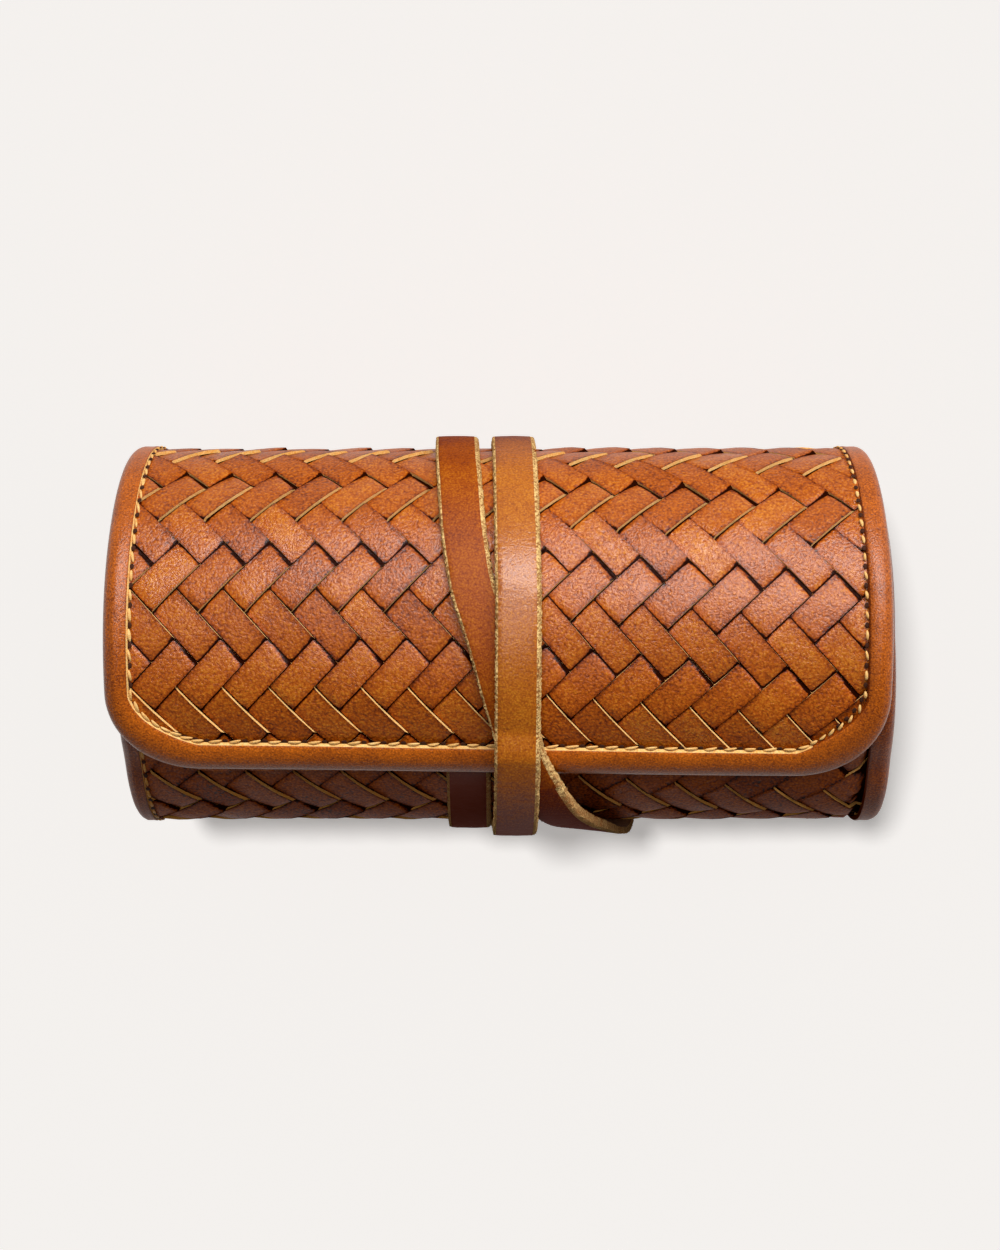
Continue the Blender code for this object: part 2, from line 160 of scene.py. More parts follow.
def layered(tree: Tree, start: float | Socket, *layers: tuple[Socket, float]) -> Socket:
    """Lays patterns over one another.

    Args:
        tree: The material's node tree.
        start: The value under them all.
        layers: Each pattern and the share of it that is added.

    Returns:
        The value of them all.
    """
    for pattern, share in layers:
        start = add_node(tree, "Math", {"operation": "MULTIPLY_ADD"}, in_0=pattern, in_1=share, in_2=start)
    return start


def pebbled(tree: Tree, place: Socket, size_mm: float) -> Socket:
    """Draws the rounded pebbles of full-grain hide, with fine creases on them.

    Args:
        tree: The material's node tree.
        place: The coordinates that the pattern reads.
        size_mm: How far one pebble reaches.

    Returns:
        The height of the grain, about 0.5 on average.
    """
    cells = add_node(tree, "TexVoronoi", {"feature": "F1"}, Vector=place, Scale=1.0 / (size_mm * MM))
    creases = add_node(
        tree, "TexNoise", Vector=place, Scale=1.0 / (size_mm * 0.9 * MM), Detail=2.0, Roughness=0.65
    )
    return layered(tree, 0.18, (creases, 1.1), (cells, -0.45))


def blank_finish(name: str) -> tuple[Material, Tree]:
    """Makes a material with no nodes in it yet.

    Args:
        name: The material's name.

    Returns:
        The material and its node tree.
    """
    finish = bpy.data.materials.new(name)
    finish.use_nodes = True
    finish.node_tree.nodes.clear()
    return finish, finish.node_tree


@dataclass(frozen=True)
class Leather:
    """Vegetable-tanned cowhide, dyed through and waxed: soft gloss, pebbled grain, uneven dye.

    Each piece carries what the dye and the gloss follow: "tone" is how light the strip was dyed,
    "edge" is 1 along a burnished edge and more where a strip dives, where it darkens the dye as painted
    shade,
    "shelter" is 1 low on the roll's front and half as much at its back, where it darkens the dye as painted
    shade and roughens the hide, "dull" is 1 where the wax has no shine, and "rub" is 1 along a pale highlight
    painted on a fold.
    """

    name: str
    dark: str
    middle: str
    light: str
    roughness: float = 0.42
    grain_mm: float = 0.85
    mottle_mm: float = 14.0
    grain_depth_mm: float = 0.22
    grain_tone: float = 0.9
    mottle_tone: float = 0.9
    mottle_rough: float = 0.12
    crease_mm: float = 4.2
    crease_depth_mm: float = 0.0
    crease_step: float = 0.07
    crease_tones: tuple = (-0.05, 0.2)
    crease_heights: tuple = (1.5, 14.0)
    buckle: float = 3.5
    dye_level: float = 0.46
    tone_spread: float = 1.0
    # How far the edge mark darkens the dye: burnished edges, and painted shade where a strip dives.
    burnish_and_shade_drop: float = 0.0
    edge_power: float = 6.0
    # How far painted shade low on the roll's front darkens the dye and roughens the hide.
    painted_shade_tone: float = 0.22
    painted_shade_rough: float = 0.32
    tone_rough: float = 0.0
    ior: float = 1.42
    full_gloss: float = 0.5
    dull_loss: float = 0.42
    edge_loss: float = 0.14
    # The pale colour of a highlight painted along a fold.
    rubbed: str = ""
    # The colour under the dark stop: painted shade in the slots where strips dive.
    painted_slot_shade: str = ""

    def material(self) -> Material:
        """Builds the leather's node material."""
        finish, tree = blank_finish(self.name)
        place = add_node(tree, "TexCoord", output="Object")
        mottle = add_node(
            tree, "TexNoise", Vector=place, Scale=1.0 / (self.mottle_mm * MM), Detail=4.0, Roughness=0.6
        )
        grain = pebbled(tree, place, self.grain_mm)
        # Painted shade, marked low on the roll's front and at its back, darkens the dye and roughens the hide
        # there.
        tone, edge, painted_shade, dull = (
            add_node(tree, "Attribute", {"attribute_name": mark}, "Fac")
            for mark in ("tone", "edge", "painted_shade", "dull")
        )
        # The edge mark darkens burnished edges and paints shade where strips dive and in the dip beside a
        # binding.
        burnish_and_shade = add_node(tree, "Math", {"operation": "POWER"}, in_0=edge, in_1=self.edge_power)
        dye = layered(
            tree, self.dye_level - 0.5 * (self.mottle_tone + self.grain_tone), (tone, self.tone_spread),
            (mottle, self.mottle_tone), (grain, self.grain_tone), (burnish_and_shade, -self.burnish_and_shade_drop),
            (painted_shade, -self.painted_shade_tone),
        )
        # The lowest stop is painted shade, for the slots where strips dive.
        stops = ((0.0, self.painted_slot_shade or self.dark), (0.06, self.dark), (0.45, self.middle), (0.82, self.light))
        colour = add_node(tree, "ValToRGB", stops=stops, Fac=dye)
        # A pale highlight is painted where a fold is marked for it.
        if self.rubbed:
            rub = add_node(tree, "Attribute", {"attribute_name": "rub"}, "Fac")
            pale = linear(self.rubbed)
            colour = add_node(tree, "Mix", {"data_type": "RGBA"}, 2, in_0=rub, in_6=colour, in_7=pale)
        normal = add_node(tree, "Bump", Strength=1.0, Distance=self.grain_depth_mm * MM, Height=grain)
        if self.crease_depth_mm:
            normal = self.creased(tree, place, tone, normal)
        rough = layered(
            tree, self.roughness - self.mottle_rough / 2, (mottle, self.mottle_rough),
            (painted_shade, self.painted_shade_rough), (tone, self.tone_rough),
        )
        gloss = layered(tree, self.full_gloss, (dull, -self.dull_loss), (burnish_and_shade, -self.edge_loss))
        shader = add_node(
            tree, "BsdfPrincipled", Base_Color=colour, Roughness=rough, Normal=normal, IOR=self.ior,
            Specular_IOR_Level=gloss,
        )
        add_node(tree, "OutputMaterial", Surface=shader)
        return finish

    def creased(self, tree: Tree, place: Socket, tone: Socket, below: Socket) -> Socket:
        """Adds the creases of bent leather, deepest on the strips with a high tone.

        Args:
            tree: The material's node tree.
            place: The coordinates that the pattern reads.
            tone: The strips' tone.
            below: The surface normal of the grain under the creases.

        Returns:
            The surface normal.
        """
        bent = add_node(
            tree, "TexNoise", Vector=place, Scale=1.0 / (self.crease_mm * MM), Detail=3.0, Roughness=0.6,
            Distortion=1.8,
        )
        folds = add_node(tree, "Math", {"operation": "PINGPONG"}, in_0=bent, in_1=self.crease_step)
        (pale, dark), (shallow, deep) = self.crease_tones, self.crease_heights
        amount = add_node(
            tree, "MapRange", Value=tone, From_Min=pale, From_Max=dark, To_Min=shallow, To_Max=deep
        )
        height = add_node(tree, "Math", {"operation": "MULTIPLY"}, in_0=folds, in_1=amount)
        height = layered(tree, height, (bent, self.buckle))
        depth = self.crease_depth_mm * MM
        return add_node(tree, "Bump", Strength=1.0, Distance=depth, Height=height, Normal=below)


@dataclass(frozen=True)
class RawFibre:
    """A cut leather edge, suede or thread: loose fibres that scatter light, with no gloss."""

    name: str
    dark: str
    light: str
    fibre_mm: float = 0.5
    depth_mm: float = 0.25
    roughness: float = 0.85
    sheen: float = 0.0
    contrast: float = 1.0
    # How far painted shade low on the roll's front darkens the fibre.
    painted_shade_tone: float = 0.18
    fibre_share: float = 0.75
    ramp_reach: float = 0.16

    def material(self) -> Material:
        """Builds the fibre's node material."""
        finish, tree = blank_finish(self.name)
        place = add_node(tree, "TexCoord", output="Object")
        fibre, broad = (
            add_node(tree, "TexNoise", Vector=place, Scale=1.0 / (size * MM), Detail=detail, Roughness=rough)
            for size, detail, rough in ((self.fibre_mm, 4.0, 0.65), (self.fibre_mm * 9, 3.0, 0.6))
        )
        # Painted shade darkens the fibre low on the roll's front.
        painted_shade = add_node(tree, "Attribute", {"attribute_name": "painted_shade"}, "Fac")
        dye = layered(
            tree, 0.0, (painted_shade, -self.painted_shade_tone), (fibre, self.fibre_share),
            (broad, 1.0 - self.fibre_share),
        )
        reach = self.ramp_reach / self.contrast
        stops = ((0.5 - reach, self.dark), (0.5 + reach, self.light))
        shader = add_node(
            tree,
            "BsdfPrincipled",
            Base_Color=add_node(tree, "ValToRGB", stops=stops, Fac=dye),
            Normal=add_node(tree, "Bump", Strength=1.0, Distance=self.depth_mm * MM, Height=fibre),
            Roughness=self.roughness,
            Sheen_Weight=self.sheen,
            Sheen_Roughness=0.5,
            Sheen_Tint=linear(self.light),
            Specular_IOR_Level=0.25,
        )
        add_node(tree, "OutputMaterial", Surface=shader)
        return finish


# Cognac strips, split thin, dyed and waxed: a soft window shine, broken up by pebbles and by the creases of
# strips that were bent in weaving, with painted shade near black in the slots where strips dive and darker
# low on the roll's front. Real pebbles are about 0.3 mm across, and are drawn coarser on every hide here so
# that they show.
WOVEN_STRIP = Leather(
    "cognac_strip_leather", "#5C1A02", "#B0540A", "#D88422", roughness=0.24, grain_mm=0.8,
    grain_depth_mm=0.17, grain_tone=0.8, mottle_tone=0.45, crease_depth_mm=0.08, burnish_and_shade_drop=0.25,
    tone_spread=0.8, tone_rough=-0.9, ior=1.46, painted_slot_shade="#240A03",
)
# Thin tan hide pulled tight over the edge: a finer grain, a narrow shine along the fold, painted shade
# towards the fold's underside, and a pale highlight painted along the fold on the right side.
FOLDED_BINDING = Leather(
    "tan_binding_leather", "#6E2A05", "#B65A0C", "#EA7A16", roughness=0.26, grain_mm=0.55,
    grain_depth_mm=0.13, grain_tone=0.9, mottle_mm=9.0, mottle_tone=0.4, burnish_and_shade_drop=0.30,
    painted_shade_tone=0.0, painted_shade_rough=0.15, ior=1.46, rubbed="#F0D2B4",
)
# Thick hide, glazed on its face: the smoothest and glossiest piece, a clear highlight over the top, and
# painted shade that darkens it low on the roll's front.
STRAP_HIDE = Leather(
    "cognac_strap_leather", "#662002", "#AE5C06", "#D4881E", roughness=0.31, grain_mm=0.6,
    grain_depth_mm=0.09, mottle_mm=11.0, grain_tone=0.7, mottle_tone=0.3, burnish_and_shade_drop=0.2,
    painted_shade_tone=0.7, painted_shade_rough=0.6, ior=1.58,
)
# The same thong where it is drawn through the fingers to tie it: redder, with its glaze rubbed off, and
# darkened low on the roll's front with painted shade.
DULL_STRAP_HIDE = Leather(
    "dull_strap_leather", "#641C02", "#9A4604", "#BC6A10", roughness=0.6, grain_mm=0.6,
    grain_depth_mm=0.10, mottle_mm=11.0, grain_tone=0.8, mottle_tone=0.5, burnish_and_shade_drop=0.3,
    painted_shade_tone=0.5, painted_shade_rough=0.2, ior=1.33,
)
# Thin unwaxed calf inside the roll: matte, pinker and paler than the outside.
POCKET_HIDE = Leather(
    "thin_pocket_leather", "#6E3A18", "#94552A", "#AC6C3C", roughness=0.5, grain_mm=0.7, grain_depth_mm=0.1
)
# A knife-cut strip edge, undyed inside: a thin cream-gold line. Fibres here are about 0.05 mm and are drawn
# about ten times as coarse so that they show.
CUT_EDGE = RawFibre("raw_cut_edge", "#E89E40", "#FFDC96", fibre_mm=0.45, depth_mm=0.15, sheen=0.6)
# The strap's thick raw edge, frayed by handling: cream tufts with brown between them.
FRAYED_EDGE = RawFibre(
    "frayed_strap_edge", "#94501A", "#FFD68C", fibre_mm=0.7, depth_mm=0.6, sheen=1.0, contrast=2.6
)
# The strap's unfinished back: matte, dusty tan.
FLESH_SIDE = RawFibre("leather_flesh_side", "#8C5A2C", "#C69257", fibre_mm=0.7, depth_mm=0.2)
# Split suede, brushed: an even velvety tan without shine.
LINING_SUEDE = RawFibre("tan_suede", "#7A4E2A", "#AE8052", fibre_mm=0.6, depth_mm=0.15, sheen=0.1)
# Waxed linen thread: bright gold, a little less rough than raw fibre.
WAXED_THREAD = RawFibre(
    "waxed_golden_thread", "#D8923C", "#FFD890", fibre_mm=0.3, depth_mm=0.06, roughness=0.5
)
# The awl's holes between the stitches: dark dots painted as the shade in each hole.
PAINTED_HOLE_SHADE = RawFibre("painted_hole_shade", "#2A1006", "#4A2410", fibre_mm=0.3, depth_mm=0.02)


class Finishes:
    """Makes each material once and hands it out by its finish."""

    def __init__(self) -> None:
        """Starts with no materials made."""
        self.made: dict[str, Material] = {}

    def of(self, finish: Leather | RawFibre) -> Material:
        """Gives the material of a finish, made on first use."""
        if finish.name not in self.made:
            self.made[finish.name] = finish.material()
        return self.made[finish.name]


FINISHES = Finishes()


@dataclass
class RollOutline:
    """The spiral that the flat panel is wound on, read by winding angle or by flat distance."""

    radius: float = 54.2 * MM
    resting_flat: float = 36.0 * MM
    layer_step: float = 9.0 * MM
    skew_per_turn: float = 1.5 * MM
    rest_height: float = 3.3 * MM
    smoothing: float = 5.0
    reading_step: float = 0.5
    spare_winding: float = 30.0
    flap_edge_angle: float = 45.0
    last_winding: float = 600.0
    steepest_floor: float = 0.5
    sink_shares: tuple = (
        (0.0, 0.0), (225.0, 0.0), (255.0, -0.09), (285.0, -0.15), (303.0, -0.10),
        (315.0, 0.0), (330.0, 0.32), (344.0, 0.70), (353.0, 1.0), (600.0, 1.0),
    )
    windings: Array = field(init=False)
    points: Array = field(init=False)
    normals: Array = field(init=False)
    distances: Array = field(init=False)

    def __post_init__(self) -> None:
        """Works out the outline once, at every reading step."""
        self.flat_depth = math.sqrt(self.radius**2 - (self.resting_flat / 2) ** 2)
        self.axis_height = self.flat_depth + self.rest_height
        last = self.last_winding + self.spare_winding + self.reading_step
        self.windings = np.arange(-self.spare_winding, last, self.reading_step)
        self.points = self.point(self.windings)
        run = self.point(self.windings + self.smoothing) - self.point(self.windings - self.smoothing)
        run /= np.linalg.norm(run, axis=1)[:, None]
        self.normals = np.stack((-run[:, 1], run[:, 0]), axis=1)
        lengths = np.linalg.norm(np.diff(self.points, axis=0), axis=1)
        total = np.concatenate(([0.0], np.cumsum(lengths)))
        self.distances = total - np.interp(0.0, self.windings, total)

    def smoothed(self, angle: Array, table: Sequence[tuple[float, float]], readings: int) -> Array:
        """Reads a table of angles and values, averaged over the smoothing either side.

        Args:
            angle: Where to read it.
            table: Pairs of an angle and its value.
            readings: How many readings are averaged.

        Returns:
            The values.
        """
        angles, values = zip(*table)
        spread = np.linspace(-self.smoothing, self.smoothing, readings)
        return np.mean([np.interp(angle + shift, angles, values) for shift in spread], axis=0)

    def radius_at(self, winding: Array) -> Array:
        """Gives the outline's distance from the roll's axis, flat underneath.

        Args:
            winding: The winding angles.

        Returns:
            The distance at each of them.
        """
        share = self.smoothed(winding, self.sink_shares, 9)
        radius = self.radius - self.layer_step * share
        downward = -np.cos(np.radians(self.flap_edge_angle - winding))
        depth = self.flat_depth - self.layer_step * np.maximum(share, 0.0)
        floor = depth / np.maximum(downward, self.steepest_floor)
        return np.where(downward > self.steepest_floor, np.minimum(radius, floor), radius)

    def point(self, winding: Array) -> Array:
        """Gives the outline's places in the YZ plane.

        Args:
            winding: The winding angles.

        Returns:
            Rows of Y and Z.
        """
        angle = np.radians(self.flap_edge_angle - winding)
        radius = self.radius_at(winding)
        return np.stack((-radius * np.sin(angle), self.axis_height + radius * np.cos(angle)), axis=1)

    def distance_at(self, winding: float) -> float:
        """Gives the flat distance from the flap's free edge at a winding angle."""
        return float(np.interp(winding, self.windings, self.distances))

    def wind(self, flat: Array) -> Array:
        """Winds flat points on the roll.

        Args:
            flat: Rows of the place across, the distance from the flap's free edge and the height
                above the woven face.

        Returns:
            The same rows as places in the frame.
        """
        across, distance, height = flat.T
        winding = np.interp(distance, self.distances, self.windings)
        y, z = (np.interp(winding, self.windings, self.points[:, i]) for i in (0, 1))
        ny, nz = (np.interp(winding, self.windings, self.normals[:, i]) for i in (0, 1))
        x = across + self.skew_per_turn * winding / FULL_TURN
        return np.stack((x, y + height * ny, z + height * nz), axis=1)

    def on_roll(self, across: Array, angle: Array, radius: Array) -> Array:
        """Gives places by roll angle, 0 at the top and positive to the front, and by radius."""
        turn = np.radians(angle)
        return np.stack((across, -radius * np.sin(turn), self.axis_height + radius * np.cos(turn)), axis=-1)


@dataclass
class Fold:
    """Where a piece would bend between two bodies, as a stretch either side of a joint; the bend is not made.
    """

    first: Body
    second: Body
    joint: str
    reach: float

    def bend(self, piece: Piece) -> None:
        """Bakes a finished piece's place into its mesh; it is not blended across the joint.

        Args:
            piece: The piece, with its place in its mesh.
        """
        joint = next(j for j in frame["joints"] if j["name"] == self.joint)
        place = np.array(joint["pos_m"])
        spoke = place - np.array((0.0, 0.0, OUTLINE.axis_height))
        spoke /= np.linalg.norm(spoke)
        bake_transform(piece)


OUTLINE = RollOutline()
HINGE_FOLD = Fold(Body.ROLL, Body.FLAP_REAR, "flap_lift", 20.0 * MM)
UNROLL_FOLD = Fold(Body.FLAP_REAR, Body.FLAP_FRONT, "flap_unroll", 20.0 * MM)
DROP_FOLD = Fold(Body.FLAP_FRONT, Body.STRAP_DROP, "strap_release", 12.0 * MM)
TAIL_FOLD = Fold(Body.FLAP_FRONT, Body.STRAP_TAIL, "tail_swing", 8.0 * MM)


class Bench:
    """The modelling steps that every piece shares."""

    # Roll angles, positive to the front, between which painted shade darkens the hide or it loses its shine.
    FRONT_PAINTED_SHADE = (26.0, 80.0)
    UNDER_RELIEF = (90.0, 125.0)
    BACK_PAINTED_SHADE = (50.0, 82.0)
    BACK_DULL = (28.0, 58.0)
    FRONT_DULL = (-2.0, 22.0)
    # How much of the painted shade the underside loses and the back gains, and how dull the back and front
    # are.
    UNDER_LOSS = 0.5
    BACK_SHARE = 0.5
    BACK_DULLNESS = 0.8
    FRONT_DULLNESS = 0.55

    @staticmethod
    def clear_selection() -> None:
        """Deselects everything, so that a step acts only on its own piece."""
        for thing in bpy.context.selected_objects:
            thing.select_set(False)

    @classmethod
    def take(cls, piece: Piece) -> None:
        """Makes a piece the only one selected, and active.

        Args:
            piece: The piece.
        """
        cls.clear_selection()
        piece.select_set(True)
        bpy.context.view_layer.objects.active = piece

    @classmethod
    def lay_grid(cls, name: str, points: Array, finishes: Sequence[Leather | RawFibre]) -> Piece:
        """Lays a sheet of faces through rows of points.

        Args:
            name: The piece's name.
            points: An array of rows by columns by three. Faces look along column cross row.
            finishes: The finishes of the piece's material slots.

        Returns:
            The new piece, at the origin.
        """
        rows, columns = points.shape[:2]
        cls.clear_selection()
        bpy.ops.mesh.primitive_grid_add(x_subdivisions=columns - 1, y_subdivisions=rows - 1, size=1.0)
        piece = bpy.context.active_object
        piece.name = piece.data.name = name
        cls.reshape(piece, points)
        for finish in finishes:
            piece.data.materials.append(FINISHES.of(finish))
        return piece

    @classmethod
    def lay_loop(
        cls, name: str, rings: Array, kinds: Array, finishes: Sequence[Leather | RawFibre], **marks: Array
    ) -> Piece:
        """Lays a closed skin through rings of points, open at its two ends.

        Args:
            name: The piece's name.
            rings: An array of rings by points by three.
            kinds: The material slot of the face after each point of a ring, for all rings or each.
            finishes: The finishes of the piece's material slots.
            marks: Numbers for the materials to read, for each point of each ring or for a ring's points.

        Returns:
            The new piece, with its ring's faces joined where they meet.
        """
        closed = np.concatenate((rings, rings[:, :1]), axis=1)
        piece = cls.lay_grid(name, closed, finishes)
        for mark, values in marks.items():
            full = np.broadcast_to(values, rings.shape[:2])
            cls.write(piece, mark, np.concatenate((full, full[:, :1]), axis=1))
        every = np.broadcast_to(kinds, (len(rings) - 1, rings.shape[1]))
        piece.data.polygons.foreach_set("material_index", every.reshape(-1).astype(np.int32))
        cls.edit(piece, lambda: bpy.ops.mesh.remove_doubles(threshold=WELD))
        return piece

    @classmethod
    def close_ends(cls, piece: Piece, kind: int) -> None:
        """Closes a skin's open ends and turns its faces outwards.

        Args:
            piece: The skin.
            kind: The material slot of the faces that close it.
        """

        def fill() -> None:
            """Selects the open edges and fills them."""
            bpy.ops.mesh.select_mode(type="EDGE")
            bpy.ops.mesh.select_non_manifold()
            bpy.ops.mesh.fill_holes(sides=0)
            bpy.ops.mesh.select_mode(type="VERT")
            bpy.ops.mesh.select_all(action="SELECT")
            bpy.ops.mesh.normals_make_consistent(inside=False)

        before = len(piece.data.polygons)
        cls.edit(piece, fill, everything=False)
        for polygon in list(piece.data.polygons)[before:]:
            polygon.material_index = kind

    @classmethod
    def edit(cls, piece: Piece, step: Callable[[], object], everything: bool = True) -> None:
        """Runs one edit-mode step on a piece.

        Args:
            piece: The piece.
            step: The step.
            everything: Whether all of the piece is selected first, or none of it.
        """
        cls.take(piece)
        bpy.ops.object.mode_set(mode="EDIT")
        bpy.ops.mesh.select_all(action="SELECT" if everything else "DESELECT")
        step()
        bpy.ops.object.mode_set(mode="OBJECT")

    @classmethod
    def cut_away(cls, piece: Piece, place: Sequence[float], outward: Sequence[float]) -> None:
        """Cuts off what lies beyond a plane through place, on its outward side."""
        cls.edit(
            piece,
            lambda: bpy.ops.mesh.bisect(plane_co=place, plane_no=outward, clear_outer=True, threshold=WELD),
        )

    @classmethod
    def thicken(cls, piece: Piece, thickness: float, **settings: object) -> None:
        """Gives a sheet its thickness, away from the side that its faces look to.

        Args:
            piece: The sheet.
            thickness: Its thickness.
            settings: The modifier's other settings.
        """
        cls.take(piece)
        modifier = piece.modifiers.new("Thickness", "SOLIDIFY")
        modifier.thickness = thickness
        modifier.offset = -1.0
        for name, value in settings.items():
            setattr(modifier, name, value)
        bpy.ops.object.modifier_apply(modifier=modifier.name)

    @classmethod
    def copy(cls, piece: Piece, name: str) -> Piece:
        """Copies a piece with a mesh of its own.

        Args:
            piece: The piece to copy.
            name: The copy's name.

        Returns:
            The copy.
        """
        twin = piece.copy()
        twin.data = piece.data.copy()
        twin.name = twin.data.name = name
        bpy.context.scene.collection.objects.link(twin)
        return twin

    @classmethod
    def join(cls, pieces: Sequence[Piece], name: str) -> Piece:
        """Joins pieces into one.

        Args:
            pieces: The pieces.
            name: The name of the whole.

        Returns:
            The whole.
        """
        cls.clear_selection()
        for piece in pieces:
            piece.select_set(True)
        bpy.context.view_layer.objects.active = pieces[0]
        bpy.ops.object.join()
        pieces[0].name = pieces[0].data.name = name
        return pieces[0]

    @classmethod
    def bead(cls) -> tuple[Piece, Array]:
        """Adds the small rounded bead that every stitch is copied from.

        Returns:
            The bead, and its points from -1 to 1 as rows of along, aside and up.
        """
        cls.clear_selection()
        bpy.ops.mesh.primitive_uv_sphere_add(segments=8, ring_count=7, radius=1.0)
        bead = bpy.context.active_object
        return bead, cls.points_of(bead)[:, ::-1]

    @classmethod
    def beads_joined(
        cls, bead: Piece, places: Sequence[tuple[str, Array, RawFibre]], name: str
    ) -> Piece:
        """Copies a bead to its places and joins the copies, with their faces outwards.

        Args:
            bead: The bead, which is used up.
            places: Each copy's name, points and finish.
            name: The name of the whole.

        Returns:
            The whole.
        """
        pieces = []
        for copy_name, points, finish in places:
            piece = cls.copy(bead, copy_name)
            cls.reshape(piece, points)
            piece.data.materials.append(FINISHES.of(finish))
            pieces.append(piece)
        bpy.data.objects.remove(bead)
        whole = cls.join(pieces, name)
        cls.edit(whole, lambda: bpy.ops.mesh.normals_make_consistent(inside=False))
        return whole

    @staticmethod
    def write(piece: Piece, attribute: str, values: Array) -> None:
        """Writes one number for each point of a piece, for its material to read."""
        layer = piece.data.attributes.get(attribute) or piece.data.attributes.new(attribute, "FLOAT", "POINT")
        layer.data.foreach_set("value", np.asarray(values, np.float32).reshape(-1))

    @staticmethod
    def points_of(piece: Piece) -> Array:
        """Reads a piece's points.

        Args:
            piece: The piece.

        Returns:
            The points as rows.
        """
        flat = np.empty(len(piece.data.vertices) * 3)
        piece.data.vertices.foreach_get("co", flat)
        return flat.reshape(-1, 3)

    @staticmethod
    def reshape(piece: Piece, points: Array) -> None:
        """Moves a piece's points to new places."""
        piece.data.vertices.foreach_set("co", points.reshape(-1))
        piece.data.update()

    @classmethod
    def wind(cls, piece: Piece) -> None:
        """Winds a flat piece on the roll."""
        cls.reshape(piece, OUTLINE.wind(cls.points_of(piece)))

    @classmethod
    def finish(
        cls, piece: Piece, slot: Slot, rides: Body | Fold, replaces: Sequence[str] = (),
        smooth_degrees: float = 40.0,
    ) -> None:
        """Smooths a finished piece, attaches it to its body or bakes it for its fold, and hides what it
        stands for.

        Args:
            piece: The piece, with its place in its mesh.
            slot: The record's material slot; not used.
            rides: The body that it rides on, or the fold whose joint it lies across.
            replaces: The CAD nodes that it stands for.
            smooth_degrees: The sharpest edge that is shaded smooth.
        """
        place = cls.points_of(piece)
        # Paints shade by roll angle: low on the roll's front, easing under it, and half as strong at its
        # back; the gloss is dulled at the back and front.
        turn = np.degrees(np.arctan2(-place[:, 1], place[:, 2] - OUTLINE.axis_height))
        relief = 1.0 - cls.UNDER_LOSS * smooth_share(turn, *cls.UNDER_RELIEF)
        painted_shade = smooth_share(turn, *cls.FRONT_PAINTED_SHADE) * relief
        painted_shade += cls.BACK_SHARE * smooth_share(-turn, *cls.BACK_PAINTED_SHADE)
        dull = cls.BACK_DULLNESS * smooth_share(-turn, *cls.BACK_DULL)
        dull += cls.FRONT_DULLNESS * smooth_share(turn, *cls.FRONT_DULL)
        cls.write(piece, "painted_shade", painted_shade)
        cls.write(piece, "dull", np.maximum(painted_shade, dull))
        cls.take(piece)
        bpy.ops.object.shade_smooth_by_angle(angle=math.radians(smooth_degrees))
        if isinstance(rides, Fold):
            rides.bend(piece)
        else:
            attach(piece, rides.value)
        if replaces:
            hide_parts(*replaces)
        LOG.info("made %s: %d faces", piece.name, len(piece.data.polygons))


@dataclass
class PanelCut:
    """The flat panel's outline and the windings where its pieces are parted."""

    width: float = 209.5 * MM
    corner_radius: float = 25.0 * MM
    end_winding: float = 585.0
    front_part: float = 110.0
    rear_part: float = 200.0
    core_part: float = 400.0

    def half(self) -> float:
        """Gives half the panel's width."""
        return self.width / 2

    def stretch(self, start: float, end: float) -> tuple[float, float]:
        """Gives the flat distances of two winding angles."""
        return OUTLINE.distance_at(start), OUTLINE.distance_at(end)

    def half_at(self, distance: Array, inset: float) -> Array:
        """Gives half the width of an outline inset inside the panel's, narrower at the flap's corners.

        Args:
            distance: The distances from the flap's free edge.
            inset: How far the outline lies inside the panel's.

        Returns:
            Half the width at each distance.
        """
        radius = self.corner_radius - inset
        rise = np.clip(self.corner_radius - distance, 0.0, radius)
        return self.half() - inset - radius + np.sqrt(radius**2 - rise**2)


CUT = PanelCut()


